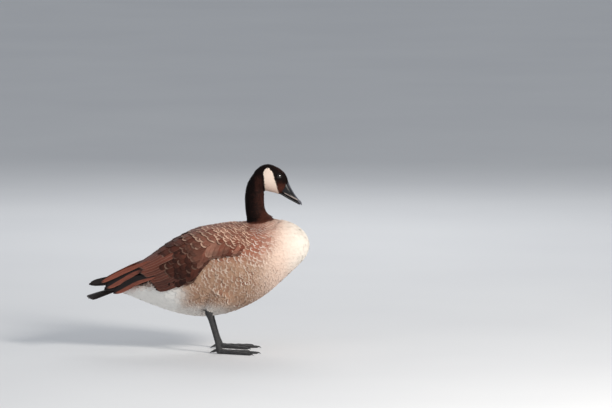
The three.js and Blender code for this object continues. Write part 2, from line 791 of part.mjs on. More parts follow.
// The bird stands over the origin: its lowest point on the floor, its middle above the origin
const bounds = new THREE.Box3().setFromObject(bird);
const middle = bounds.getCenter(vector(0, 0, 0));
bird.position.set(-middle.x, -middle.y, -bounds.min.z);

const goose = new THREE.Group();
goose.add(bird);

export default goose;
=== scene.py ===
"""A standing goose: one skin under overlapping feathers, with bill, eyes, legs, feet and a pale stage."""

import math

import bpy
import numpy as np
from bpy.props import FloatProperty, FloatVectorProperty, IntProperty, PointerProperty
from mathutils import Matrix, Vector
from mathutils.bvhtree import BVHTree


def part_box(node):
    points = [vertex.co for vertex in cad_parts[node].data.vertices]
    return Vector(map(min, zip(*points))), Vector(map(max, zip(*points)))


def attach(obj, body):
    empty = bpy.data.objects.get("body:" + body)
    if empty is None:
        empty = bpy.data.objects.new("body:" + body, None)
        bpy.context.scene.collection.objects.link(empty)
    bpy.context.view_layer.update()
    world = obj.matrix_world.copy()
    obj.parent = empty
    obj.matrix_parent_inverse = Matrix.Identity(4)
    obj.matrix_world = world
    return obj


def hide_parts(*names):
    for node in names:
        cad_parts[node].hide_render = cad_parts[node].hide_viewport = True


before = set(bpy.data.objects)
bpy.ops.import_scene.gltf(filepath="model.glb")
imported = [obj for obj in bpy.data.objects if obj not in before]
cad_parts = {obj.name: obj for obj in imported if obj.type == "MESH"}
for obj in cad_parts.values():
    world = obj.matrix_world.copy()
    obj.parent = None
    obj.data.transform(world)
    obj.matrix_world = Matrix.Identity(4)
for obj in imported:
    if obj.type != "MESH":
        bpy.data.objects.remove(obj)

bl_info = {
    "name": "Goose Builder",
    "version": (1, 0, 0),
    "blender": (4, 5, 0),
    "location": "3D View > Sidebar > Goose",
    "description": "Builds a standing goose feather by feather",
    "category": "Add Mesh",
}

# All tables are in millimetres, with the origin on the floor below the middle of the bird and +X forward.
# The finished meshes are in metres and moved with the solids.
MM = 0.001
SHIFT = np.array([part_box("torso")[1].x / MM - 250, 0, 0])

# Torso sections: place along X, level of the widest line, height above it, depth below it, half width
TORSO = [
    (-190, 144, 0, 0, 0),
    (-181, 145, 9, 9, 15),
    (-152, 151, 23, 26, 30),
    (-105, 161, 47, 55, 50),
    (-52, 172, 72, 84, 69),
    (5, 183, 92, 104, 82),
    (60, 192, 97, 106.5, 88),
    (110, 202, 91, 98.5, 86),
    (155, 213, 85, 82, 77),
    (192, 226, 70, 62, 63),
    (220, 235, 50, 45, 48),
    (241, 240, 26, 27, 29),
    (250, 240, 0, 0, 0),
]
# How square the torso is above and below its widest line
TORSO_CURVE = (0.88, 1.1)
# Neck rings: front point along X and Z, back point along X and Z, half width
NECK = [
    (196, 286, 98, 266, 52),
    (172, 301.5, 107.5, 292, 38),
    (156.5, 311.5, 107, 306, 27.5),
    (150, 323, 105.4, 320, 22.8),
    (148, 338, 104.2, 338, 21.6),
    (148, 353, 104.6, 355, 22.4),
    (149.5, 366, 107, 370, 19.4),
    (153, 377, 111.4, 383, 20.2),
    (160, 387, 119.2, 396, 20.4),
    (169, 394, 130.4, 408, 18),
]
# The head's own frame: origin where the ridge of the bill meets the feathers, nodding down
NOD = math.radians(27)
HEAD_ORIGIN = np.array([202, 0, 383.6])
HEAD_AXES = np.array([[math.cos(NOD), 0, -math.sin(NOD)], [0, 1, 0], [math.sin(NOD), 0, math.cos(NOD)]])
# The line from nape to throat where the head starts: its direction out and how far out it lies
HEAD_LINE = np.array([0.759, 0, 0.651])
HEAD_LINE_AT = 348.8
# Head sections in that frame: place along it, top, bottom, half width
HEAD = [
    (-78, -15, -15, 0),
    (-75.5, -6, -25, 10),
    (-69, 6.4, -33, 16.5),
    (-57, 15.8, -39, 20.4),
    (-43, 17.9, -42, 21),
    (-29, 17.7, -39.5, 20),
    (-17, 14.6, -36.5, 18),
    (-7, 8, -34.7, 15.2),
    (0, 0.8, -33.4, 12.8),
]
# The two halves of the bill, in the same way
BILL_TOP = [
    (-4, 2.6, -28.2, 12.4),
    (0, 0, -28.4, 12.6),
    (9, -7.2, -28.9, 12.2),
    (18, -13.6, -29.4, 11.2),
    (28, -19.6, -30.2, 10.2),
    (38, -24.2, -31, 9.4),
    (45, -27.4, -32.2, 7.8),
    (49, -29.9, -33.6, 5),
    (51, -31.8, -34.2, 2),
]
BILL_BOTTOM = [
    (-4, -28.6, -33.2, 10.8),
    (0, -28.6, -33.6, 10.8),
    (14, -29.5, -34.6, 9.8),
    (28, -30.5, -35, 8.8),
    (40, -31.5, -35.2, 7.6),
    (46.5, -32.6, -35.2, 5),
]
# The nostril and the wider hollow round it, in the head's frame: centre, size and depth
NOSTRIL = (((20.5, -20.8), (4.6, 1.3), 2.6), ((20.5, -20), (8.5, 3.4), 0.45))
# The left eye in the head's frame, mirrored on the right; both look a little ahead and up
EYE_PLACE = np.array([-24.6, 12.1, 2.2])
EYE_RADIUS = 7
EYE_BULGE = 0.6
EYE_OUT = 2.1
LID_TURN = math.radians(10)
LID_RAISE = math.radians(20)
LID_OUT = 5.05
LID_REACH = (5.7, 4.7)

# The folded wing between two angles round the torso, measured from the back, front to rear
WING_SPAN = (140, -112)
WING_UPPER = (36, 5)
WING_LOWER = (76, 94)
WING_EDGE = 1.6
WING_CROWN = 3.6
# How far down the side the wing's feathers show, by place along X; the flank feathers cover the rest
WING_SHOWS = [(-112, 99), (-80, 104), (-34, 105), (-18, 98), (-4, 87), (10, 77), (30, 73), (90, 71),
              (112, 56), (140, 38)]
# Flight feathers of the right wing, lowest first: four points each, then the width and the share of brown
# The black beside each share of brown is partly painted shadow under the feather above
PRIMARIES = [
    ((-102, -48, 167), (-160, -30, 152), (-188, -20, 145.5), (-213, -14, 141), 16, 0),
    ((-102, -40, 172), (-165, -14, 161), (-212, -7, 155.5), (-247, -5, 151), 15, 0),
    ((-104, -36, 182), (-165, -12, 168), (-208, -6, 160), (-243, -5, 154), 15, 0),
    ((-96, -58, 174), (-134, -43, 164.5), (-158, -32, 152), (-191, -24, 132), 24, 0.4),
    ((-102, -38, 196.5), (-146, -21, 180.5), (-174, -16, 164), (-210, -13, 142), 24.5, 0.43),
    ((-108, -32, 205), (-150, -18, 187), (-184, -11, 171), (-222, -9, 152), 11.5, 1),
]
PRIMARIES_UP = np.array([-0.1, -0.85, 0.52])
TAIL_ROOT = np.array([-177, 0, 143])
TAIL_ROOT_SIZE = np.array([23.2, 21.25, 6.8])
TAIL_FROM = np.array([-172, 0, 146])
TAIL_COUNT = 16
TAIL_LENGTH = 80
TAIL_SPREAD = math.radians(23)
TAIL_FALL = math.atan2(21, 79)

# Legs of the left side
LEG_SIDE = 50
KNEE = np.array([52, LEG_SIDE - 6, 146])
ANKLE = np.array([23, LEG_SIDE + 1, 95])
TOE_ROOT = np.array([47, LEG_SIDE + 2, 9])
THIGH = [(-0.25, 26), (0.1, 38), (0.45, 30), (0.7, 19.5), (0.85, 12.5), (1, 8)]
SHANK = [(-0.08, 6.4), (-0.02, 7.6), (0.05, 8.5), (0.12, 7), (0.22, 5.6), (0.5, 5), (0.78, 5.1), (0.92, 6.4),
         (1, 7), (1.08, 6.2)]
# Front toes: length, turn outwards in degrees, half width
TOES = [(68, -24, 5), (84, 1, 5.6), (76, 25, 5.2)]
FOOT_ROOT = TOE_ROOT * [1, 1, 0]
FLOOR_GAP = 0.02
HIND_WAY = np.array([-0.86, -0.3, 0])
# The hind toe and the claws: reach, height and radius
HIND_TOE = [(-4, 9, 3), (6, 8, 3.4), (13, 6, 3), (17, 4.6, 2.3)]
HIND_CLAW = [(16, 4.7, 1.7), (19, 4.3, 1.6), (22, 2.8, 1), (24.5, 1, 0.3)]
CLAW = [(-1, 2.9, 1.5), (1.5, 3.1, 1.75), (5, 2.7, 1.3), (8, 1.5, 0.75), (9.6, 0.5, 0.25)]
# The skin replaces these solids
FLESH = ("torso", "neck_lower", "neck_upper", "head", "thigh_left", "thigh_right")

# Depth of the coat on the neck and the legs, and the bare ring round the eye
NECK_COAT = 1.7
LEG_COAT = 2.2
EYE_BARE = 8.6
# Distances between the feathers of the crown, the neck's foot, the shanks and the thighs
CROWN_GAP = 1.45
NECK_FOOT_GAP = 2.7
LEG_GAP = 2.6
THIGH_GAP = 3.6
# Where the rows of scapulars start and end, and where each row of rear coverts starts
SCAPULAR_SPAN = (150.0, -76)
REAR_TIERS = (30, 16, 2, -12, -27, -43)
# Patterns of feathers: lines along and across them, then their outline as places along and half widths
SMALL_OUTLINE = ([0, 0.3, 0.55, 0.75, 0.88, 0.96, 1], [0.4, 0.86, 1, 0.96, 0.78, 0.5, 0.16])
COVERT_OUTLINE = ([0, 0.2, 0.5, 0.84, 0.92, 0.97, 1], [0.35, 0.8, 1, 0.98, 0.86, 0.62, 0.3])
LONG_OUTLINE = ([0, 0.1, 0.35, 0.7, 0.87, 0.96, 1], [0.2, 0.6, 0.97, 1, 0.8, 0.42, 0.1])
HEAD_VANE = ([0, 0.4, 0.75, 0.93, 1], [-1, 0, 1], SMALL_OUTLINE)
BODY_VANE = ([0, 0.3, 0.58, 0.8, 0.92, 0.98, 1], [-1, 0, 1], SMALL_OUTLINE)
COVERT_VANE = (
    [0, 0.25, 0.5, 0.72, 0.85, 0.92, 0.97, 1], [-1, -0.66, -0.33, 0, 0.33, 0.66, 1], COVERT_OUTLINE
)
# Long feathers have more lines next to their raised shaft
LONG_VANE = ([-1, -0.7, -0.4, -0.12, -0.05, 0, 0.05, 0.12, 0.4, 0.7, 1], LONG_OUTLINE)
LONG_CAMBER = 0.5
LONG_THICK = 0.35
SHAFT_HEIGHT = 0.35
SHAFT_WIDTH = 0.07
# How much feathers differ in turn and roll, in radians, and in shade
TURN_SPREAD = 0.08
ROLL_SPREAD = 0.05
TONE_SPREAD = 0.5
# Where the feathers' lie starts: inside the bill, and at the foot of the neck
LIE_FROM_BILL = (4, 0, -18)
LIE_FROM_NECK = (142, 0, 305)
# Side of a feather's own patch in the OFBake map
BAKE_PATCH = 0.003

# Levels of the markings above the floor, in metres
PATCH_TOP = 0.4148
STOCKING_FOOT = 0.2915
SHOULDER_EDGE = 0.21
RUMP_EDGE = 0.15

# Stage in metres: lights with their place, size, power and colour
LIGHTS = (
    ("Key", (2.4, -2.4, 2.0), 0.8, 116, (1, 0.95, 0.88)),
    ("Fill", (-2.6, -2.4, 1.5), 2.5, 12, (0.88, 0.93, 1)),
    ("Back", (0.3, 2.8, 2.2), 2.0, 30, (1, 1, 1)),
)
LIT_PLACE = Vector((0, 0, 0.2))
SKY = (0.86, 0.9, 0.96, 1)
SKY_STRENGTH = 0.45
FLOOR_SIZE = 60
CAMERA_TARGET = Vector((0.242 + SHIFT[0] * MM, 0, 0.333))
CAMERA_RAISED = math.radians(6)
CAMERA_AWAY = 15
CAMERA_LENS = 392


def size_setting(name, description, default):
    return FloatProperty(name=name, description=description, default=default, unit="LENGTH")


def colour_setting(name, description, default):
    return FloatVectorProperty(name=name, description=description, default=default, subtype="COLOR")


class GooseCoat(bpy.types.PropertyGroup):
    """Sizes of the feathers and of the skin under them."""

    voxel: size_setting("Skin detail", "Size of the faces of the skin", 0.0021)
    depth_body: size_setting("Body coat", "How deep the skin lies under the breast feathers", 0.0036)
    depth_head: size_setting("Head coat", "How deep the skin lies under the head feathers", 0.0013)
    spacing_face: size_setting("Face spacing", "Distance between feathers near the bill", 0.00105)
    spacing_neck: size_setting("Neck spacing", "Distance between feathers of the neck", 0.0019)
    spacing_body: size_setting("Body spacing", "Distance between feathers of breast and belly", 0.0048)
    seed: IntProperty(name="Seed", description="Start of the random draws", default=11, min=0)


class GooseColours(bpy.types.PropertyGroup):
    """Colours of the plumage and the bare parts."""

    stocking: colour_setting("Neck", "Black of head and neck", (0.0058, 0.003, 0.0026))
    # Brown painted on the black as sheen where light falls; also mixed into the lids' folds
    lit_neck: colour_setting("Neck sheen", "Brown sheen of the neck's front and face", (0.088, 0.028, 0.018))
    cheek: colour_setting("Cheek", "Pale patch behind the eye", (0.8, 0.66, 0.56))
    breast: colour_setting("Breast", "Cream of the breast", (0.88, 0.81, 0.72))
    side: colour_setting("Breast side", "Warm tint at the side of the breast", (0.8, 0.6, 0.49))
    flank: colour_setting("Flank", "Buff of the sides", (0.375, 0.228, 0.15))
    vent: colour_setting("Vent", "White behind the legs", (0.8, 0.78, 0.74))
    mantle: colour_setting("Mantle", "Brown of back and wings", (0.14, 0.039, 0.023))
    # Also painted as light over the front and top of the wing
    mantle_tip: colour_setting("Feather tips", "Pale edge of back and wing feathers", (0.68, 0.45, 0.33))
    flight: colour_setting("Flight feathers", "Near black of primaries and tail", (0.012, 0.007, 0.006))
    horn: colour_setting("Bill", "Black horn of the bill", (0.006, 0.006, 0.0075))
    leg: colour_setting("Legs", "Grey black of legs and webs", (0.022, 0.022, 0.024))
    floor: colour_setting("Floor", "Pale floor of the stage", (0.78, 0.79, 0.8))


class GooseSettings(bpy.types.PropertyGroup):
    """Everything that the goose is built from."""

    coat: PointerProperty(type=GooseCoat, name="Coat", description="Feather sizes")
    colours: PointerProperty(type=GooseColours, name="Colours", description="Colours of every part")


# Shapes

def through(rows, before, after):
    """A smooth curve through rows of numbers; before and after are the rows past its ends."""
    rows = np.array([before, *rows, after], float)

    def at(t):
        t = np.asarray(t, float)
        i = np.clip(np.floor(t).astype(int), 0, len(rows) - 4)
        f = (t - i)[..., None]
        p, q, r, s = rows[i], rows[i + 1], rows[i + 2], rows[i + 3]
        return q + 0.5 * f * (r - p + f * (2 * p - 5 * q + 4 * r - s + f * (3 * (q - r) + s - p)))

    return at


def onward(end, inner):
    """The row past an end, straight on from the one before it."""
    return tuple(2 * a - b for a, b in zip(end, inner))


def open_curve(rows):
    """A smooth curve through rows of numbers that runs on past both ends."""
    return through(rows, onward(rows[0], rows[1]), onward(rows[-1], rows[-2]))


def round_angles(count):
    return np.linspace(0, 2 * math.pi, count, endpoint=False)


def mirrored_row(row, fixed):
    """The row past a pointed end: sizes after the fixed places are turned over."""
    return tuple(v if k < fixed else -v for k, v in enumerate(row))


def fullness(v, power):
    """A sine or cosine made squarer or rounder, with its sign kept."""
    return np.sign(v) * np.abs(v) ** power


def smooth(low, high, value):
    """0 below low and 1 above high, or the other way round where low is the larger."""
    f = np.clip((value - low) / (high - low), 0, 1)
    return f * f * (3 - 2 * f)


def blend(a, b, share):
    return a + (b - a) * share


def unit(v):
    return v / np.maximum(np.linalg.norm(v, axis=-1, keepdims=True), 1e-9)


torso_row = through(TORSO, mirrored_row(TORSO[1], 2), mirrored_row(TORSO[-2], 2))
SECTIONS = np.linspace(0, len(TORSO) - 1, 2000)
SECTION_PLACES = torso_row(SECTIONS)[:, 0]


def torso_point(t, angle):
    """Points of the torso: t runs along its sections, angle from the back towards the right side."""
    x, level, up, down, half = np.moveaxis(torso_row(t), -1, 0)
    across, rise = np.sin(angle), np.cos(angle)
    power = np.where(rise > 0, *TORSO_CURVE)
    z = level + np.where(rise > 0, up, down) * fullness(rise, power)
    return np.stack([x + 0 * z, -half * fullness(across, power), z], -1)


def torso_level(x):
    """The height of the torso's widest line."""
    return np.interp(x, SECTION_PLACES, torso_row(SECTIONS)[:, 1])


def over_torso(x, angle, lift):
    """Points over the torso, lifted off it, and the way out from it there."""
    t = np.interp(x, SECTION_PLACES, SECTIONS)
    along = torso_point(t + 0.02, angle) - torso_point(t - 0.02, angle)
    around = torso_point(t, angle + 0.01) - torso_point(t, angle - 0.01)
    out = unit(np.cross(along, around))
    side = np.stack([0 * angle, -np.sin(angle), np.cos(angle)], -1)
    out = out * np.sign((out * side).sum(-1, keepdims=True))
    return torso_point(t, angle) + out * np.asarray(lift)[..., None], out


def in_head(points):
    """Points given in the head's own frame, in the bird's frame."""
    return HEAD_ORIGIN + np.asarray(points, float) @ HEAD_AXES


def to_head(points):
    return (points - HEAD_ORIGIN) @ HEAD_AXES.T


def oval_rings(rows, steps, sides, flat_top, flat_bottom, before=None):
    """Rings through rows of place, top, bottom and half width, rounder or flatter above and below."""
    row = through(rows, before or onward(rows[0], rows[1]), onward(rows[-1], rows[-2]))
    x, top, bottom, half = np.moveaxis(row(np.linspace(0, len(rows) - 1, steps + 1))[:, None], -1, 0)
    angle = round_angles(sides)[None]
    rise = np.sin(angle)
    power = np.where(rise > 0, flat_top, flat_bottom)
    y = half * fullness(np.cos(angle), power)
    z = (top + bottom) / 2 + (top - bottom) / 2 * fullness(rise, power)
    return np.stack([x + 0 * y, y, z], -1)


def limb_rings(stops, sides, steps):
    """Rings round a limb through stops of place and radius, smoothly joined."""
    rows = [(*place, radius) for place, radius in stops]
    values = open_curve(rows)(np.linspace(0, len(rows) - 1, steps + 1))
    centre, radius = values[:, :3], np.maximum(values[:, 3], 0.15)
    along = unit(np.gradient(centre, axis=0))
    side = unit(np.cross([0, 1, 0], along))
    over = np.cross(along, side)
    angle = round_angles(sides)[None, :, None]
    reach = side[:, None] * np.cos(angle) + over[:, None] * np.sin(angle)
    return centre[:, None] + reach * radius[:, None, None]


def tube(rings):
    """A closed body over rings: points, four-sided and three-sided faces."""
    count, sides = rings.shape[:2]
    i, j = np.meshgrid(np.arange(count - 1), np.arange(sides), indexing="ij")
    a = (i * sides + j).ravel()
    b = (i * sides + (j + 1) % sides).ravel()
    quads = np.stack([a, b, b + sides, a + sides], -1)
    points = np.concatenate([rings.reshape(-1, 3), rings[0].mean(0)[None], rings[-1].mean(0)[None]])
    near = np.arange(sides)
    far = near + (count - 1) * sides
    first, last = count * sides, count * sides + 1
    tris = np.concatenate([
        np.stack([np.roll(near, -1), near, np.full(sides, first)], -1),
        np.stack([far, np.roll(far, -1), np.full(sides, last)], -1),
    ])
    return outward(points, quads, tris)


def outward(points, quads, tris):
    """The same body with its faces turned outwards."""
    corners = np.concatenate([tris, quads[:, :3], quads[:, [0, 2, 3]]])
    a, b, c = (points[corners[:, k]] for k in range(3))
    if (a * np.cross(b, c)).sum() < 0:
        return points, quads[:, ::-1], tris[:, ::-1]
    return points, quads, tris


def together(bodies):
    """Several bodies as the points and faces of one mesh."""
    points, quads, tris, start = [], [], [], 0
    for p, q, t in bodies:
        points.append(p)
        quads.append(q.reshape(-1, 4) + start)
        tris.append(t.reshape(-1, 3) + start)
        start += len(p)
    return np.concatenate(points), np.concatenate(quads), np.concatenate(tris)


def flipped(body):
    """The mirror image of a body, from the left side to the right or back."""
    points, quads, tris = body
    return points * [1, -1, 1], quads[:, ::-1], tris[:, ::-1]


def mesh_of(name, body):
    """A smooth-shaded mesh in the solids' place, in metres, from points and faces in millimetres."""
    points, quads, tris = body
    mesh = bpy.data.meshes.new(name)
    mesh.vertices.add(len(points))
    mesh.vertices.foreach_set("co", ((points + SHIFT) * MM).ravel())
    corners = np.concatenate([quads.ravel(), tris.ravel()]).astype(np.int32)
    mesh.loops.add(len(corners))
    mesh.loops.foreach_set("vertex_index", corners)
    starts = np.concatenate([np.arange(len(quads)) * 4, len(quads) * 4 + np.arange(len(tris)) * 3])
    mesh.polygons.add(len(starts))
    mesh.polygons.foreach_set("loop_start", starts.astype(np.int32))
    mesh.polygons.foreach_set("use_smooth", np.ones(len(starts), bool))
    mesh.update(calc_edges=True)
    return mesh


def added(name, data):
    """A new object in the scene."""
    made = bpy.data.objects.new(name, data)
    bpy.context.collection.objects.link(made)
    return made


def piece(name, mesh, material, slot, *nodes):
    """A finished piece of the bird, standing for the named solids."""
    made = added(name, mesh)
    mesh.materials.append(material)
    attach(made, "root")
    if nodes:
        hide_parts(*nodes)
    return made


def write_layer(mesh, name, values, kind="FLOAT"):
    layer = mesh.attributes.new(name, kind, "POINT")
    key = "vector" if kind == "FLOAT_VECTOR" else "value"
    layer.data.foreach_set(key, np.asarray(values, np.float32).ravel())


def write_map(mesh, name, flat):
    """A UV map from one pair of numbers for each corner."""
    layer = mesh.uv_layers.new(name=name)
    layer.uv.foreach_set("vector", np.asarray(flat, np.float32).ravel())


def corner_points(mesh):
    corners = np.empty(len(mesh.loops), np.int32)
    mesh.loops.foreach_get("vertex_index", corners)
    return corners


def vertex_rows(mesh, key):
    """The places or the normals of a mesh's vertices, one row for each."""
    values = np.empty(len(mesh.vertices) * 3)
    mesh.vertices.foreach_get(key, values)
    return values.reshape(-1, 3)


# The skin

def unwrap(points):
    """The skin's own unwrap: bands for torso, neck and head, each round it and along it."""
    x, y, z = points.T
    torso = np.stack([np.arctan2(-y, z - torso_level(x)), (x + 195) / 450 * 0.5], -1)
    along, _, up = to_head(points).T
    head = np.stack([np.arctan2(y, up + 12), 0.8 + (along + 82) / 90 * 0.19], -1)
    axis = np.interp(z, [280, 320, 340, 390], [143, 129, 127, 140])
    neck = np.stack([np.arctan2(y, x - axis), 0.53 + (z - 285) / 120 * 0.25], -1)
    on_neck = (z > 298) & (x > 95)
    on_head = on_neck & (head_share(points) > 0.5)
    flat = np.where(on_head[:, None], head, np.where(on_neck[:, None], neck, torso))
    return np.stack([0.03 + (flat[:, 0] / (2 * math.pi) + 0.5) * 0.9, flat[:, 1]], -1)


def head_share(points):
    """0 on the neck and 1 on the head, past the line from nape to throat."""
    return smooth(-4, 4, points @ HEAD_LINE - HEAD_LINE_AT)


def bare_forms():
    """The rounded forms that the skin is drawn over."""
    steps = np.linspace(0, len(TORSO) - 1, 90)[:, None]
    yield tube(torso_point(steps, round_angles(72)[None]))
    rings = open_curve(NECK)(np.linspace(0, len(NECK) - 1, 60))[:, None]
    front_x, front_z, back_x, back_z, wide = np.moveaxis(rings, -1, 0)
    angle = round_angles(48)[None]
    share = (1 + np.cos(angle)) / 2
    neck = [blend(back_x, front_x, share), wide * np.sin(angle), blend(back_z, front_z, share)]
    yield tube(np.stack(neck, -1))
    nape = HEAD[1]
    yield tube(in_head(oval_rings(HEAD, 60, 48, 0.9, 0.95, (nape[0], nape[2], nape[1], -nape[3]))))
    for side in (-1, 1):
        thigh = [(blend(KNEE, ANKLE, share) * [1, side, 1], radius) for share, radius in THIGH]
        yield tube(limb_rings(thigh, 32, 30))
    angle = np.linspace(0, math.pi, 24)[:, None]
    turn = round_angles(32)[None]
    across = np.sin(angle)
    ball = np.stack([np.cos(angle) + 0 * turn, across * np.cos(turn), across * np.sin(turn)], -1)
    yield tube(TAIL_ROOT + ball * TAIL_ROOT_SIZE)


def coat_depth(points, coat):
    """How deep the skin lies under the finished coat."""
    neck = smooth(285, 320, points[:, 2]) * (points[:, 0] > 90)
    leg = smooth(125, 95, points[:, 2]) * smooth(30, 42, np.abs(points[:, 1]))
    depth = blend(coat.depth_body / MM, NECK_COAT, neck)
    depth = blend(depth, LEG_COAT, leg)
    return blend(depth, coat.depth_head / MM, head_share(points) * neck)


class Skin:
    """The skin's surface, ready to be asked for places and directions on it."""

    def __init__(self):
        mesh = bpy.data.objects["Skin"].data
        mesh.calc_loop_triangles()
        self.points = vertex_rows(mesh, "co") / MM - SHIFT
        self.normals = vertex_rows(mesh, "normal")
        tris = np.empty(len(mesh.loop_triangles) * 3, np.int32)
        mesh.loop_triangles.foreach_get("vertices", tris)
        self.tris = tris.reshape(-1, 3)
        self.tree = BVHTree.FromPolygons(self.points.tolist(), self.tris.tolist())

    def nearest(self, points):
        return np.array([tuple(self.tree.find_nearest(Vector(p))[0]) for p in points.tolist()])

    def scatter(self, spacing, seed, pool=500000):
        """Places on the skin no closer to each other than spacing asks, with the normals there.

        They are chosen from a pool of random places, and spacing is 0 where none is wanted."""
        draw = np.random.default_rng(seed)
        a, b, c = (self.points[self.tris[:, k]] for k in range(3))
        area = np.linalg.norm(np.cross(b - a, c - a), axis=1)
        face = draw.choice(len(area), pool, p=area / area.sum())
        u, v = draw.random((2, pool, 1))
        fold = u + v > 1
        u, v = np.where(fold, 1 - u, u), np.where(fold, 1 - v, v)
        corners = self.tris[face]
        places = a[face] + u * (b[face] - a[face]) + v * (c[face] - a[face])
        n = self.normals
        normals = unit(n[corners[:, 0]] * (1 - u - v) + n[corners[:, 1]] * u + n[corners[:, 2]] * v)
        gap = spacing(places)
        least = gap[gap > 0].min()
        chosen = (gap > 0) & (draw.random(pool) < (least / np.maximum(gap, 1e-3)) ** 2 * 3)
        places, normals, gap = places[chosen], normals[chosen], gap[chosen]
        kept = thinned(places, gap)
        return places[kept], normals[kept], gap[kept]


def thinned(places, gap):
    """Which places stay when each keeps its own distance from those before it."""
    kept, cells = [], {}
    size = float(gap.max())
    keys = np.floor(places / size).astype(int)
    around = [(i, j, k) for i in (-1, 0, 1) for j in (-1, 0, 1) for k in (-1, 0, 1)]
    for index, (point, reach, key) in enumerate(zip(places.tolist(), (gap**2).tolist(), keys.tolist())):
        x, y, z = point
        near = (cells.get((key[0] + i, key[1] + j, key[2] + k), ()) for i, j, k in around)
        if any((x - p) ** 2 + (y - q) ** 2 + (z - r) ** 2 < reach for cell in near for p, q, r in cell):
            continue
        cells.setdefault(tuple(key), []).append((x, y, z))
        kept.append(index)
    return np.array(kept)


# Feathers

class Vane:
    """The pattern of one feather: a thin closed leaf with its rim shared by both faces."""

    def __init__(self, along, across, outline):
        v, u = np.array(along, float), np.array(across, float)
        rows, columns = len(v), len(u)
        top = np.arange(rows * columns).reshape(rows, columns)
        under = top.copy()
        under[:, 1:-1] = rows * columns + np.arange(rows * (columns - 2)).reshape(rows, columns - 2)
        grid_v, grid_u = np.meshgrid(v, u, indexing="ij")
        rim = np.zeros((rows, columns))
        rim[:, 1:-1] = 1
        inner = (slice(None), slice(1, -1))
        self.v = np.concatenate([grid_v.ravel(), grid_v[inner].ravel()])
        self.u = np.concatenate([grid_u.ravel(), grid_u[inner].ravel()])
        self.side = np.concatenate([rim.ravel(), -rim[inner].ravel()])
        self.wide = np.interp(self.v, *outline)
        quads = []
        for grid, turn in ((top, 1), (under, -1)):
            a, b, c, d = grid[:-1, :-1], grid[:-1, 1:], grid[1:, 1:], grid[1:, :-1]
            quads.append(np.stack([a, b, c, d], -1).reshape(-1, 4)[:, ::turn])
        self.quads = np.concatenate(quads)
        tris = []
        for row, turn in ((0, -1), (rows - 1, 1)):
            for j in range(columns - 1):
                a, b, c, d = top[row, j], top[row, j + 1], under[row, j + 1], under[row, j]
                faces = [(a, b, c)] if a == d else [(a, b, d)] if b == c else [(a, b, c), (a, c, d)]
                tris += [face[::turn] for face in faces if len(set(face)) == 3]
        self.tris = np.array(tris)


def plumage(name, vane, feathers, material, slot, nodes=(), mirror=False):
    """One mesh of many feathers, with each one's mark, shade and place on the skin's unwrap."""
    points, normals, roots, marks, tone, pale = feathers
    count, size = points.shape[:2]
    if mirror:
        points, normals, roots, marks = (a * [1, -1, 1] for a in (points, normals, roots, marks))
    a, b, _, d = (points[:, vane.quads[:len(vane.quads) // 2, k]] for k in range(4))
    turn = 1 if (np.cross(b - a, d - a) * normals[:, :1]).sum() > 0 else -1
    quads, tris = vane.quads[:, ::turn], vane.tris[:, ::turn]
    offset = (np.arange(count) * size)[:, None, None]
    faces = ((quads[None] + offset).reshape(-1, 4), (tris[None] + offset).reshape(-1, 3))
    mesh = mesh_of(name, (points.reshape(-1, 3), *faces))
    facing = np.where(np.arange(len(quads)) < len(quads) // 2, 1, -1)[:, None, None]
    normals = np.broadcast_to(unit(normals), points.shape)
    corners = [(normals[:, quads] * facing).reshape(-1, 3), normals[:, tris].reshape(-1, 3)]
    mesh.normals_split_custom_set(np.concatenate(corners))
    write_layer(mesh, "mark", np.repeat((marks + SHIFT) * MM, size, axis=0), "FLOAT_VECTOR")
    write_layer(mesh, "tone", np.repeat(tone, size))
    write_layer(mesh, "pale", np.repeat(pale, size))
    vane_map = np.stack([(vane.u + 1) / 2, vane.v], -1)
    patch = np.tile((vane_map - 0.5) * BAKE_PATCH, (count, 1))
    corners = corner_points(mesh)
    write_map(mesh, "Vane", np.tile(vane_map, (count, 1))[corners])
    write_map(mesh, "OFBake", (np.repeat(unwrap(roots), size, axis=0) + patch)[corners])
    mesh.uv_layers["OFBake"].active = True
    return piece(name, mesh, material, slot, *nodes)


def flow(points, normals):
    """The lie of the feathers: back over the head, down the neck, and away from the neck over the body."""
    from_bill = unit(points - in_head(LIE_FROM_BILL))
    down_neck = np.array([0.05, 0, -1.0])
    reach = points - LIE_FROM_NECK
    distance = np.linalg.norm(reach, axis=1, keepdims=True)
    over_body = reach / np.maximum(distance, 1) + smooth(15, 150, distance) * [-1.25, 0, 0]
    neck = (smooth(290, 318, points[:, 2]) * smooth(92, 104, points[:, 0]))[:, None]
    head = head_share(points)[:, None] * neck
    way = blend(blend(over_body, down_neck, neck), from_bill, head)
    way = way - normals * (way * normals).sum(1, keepdims=True)
    return unit(way)


def fall_ahead(skin, places, normals, ways, length):
    """How far the skin bends away from a flat feather's tip."""
    ahead = places + ways * (length * 0.8)[:, None]
    drop = ((skin.nearest(ahead) - ahead) * normals).sum(1) / 0.64
    return np.clip(drop, -0.5 * length, 0.25 * length)


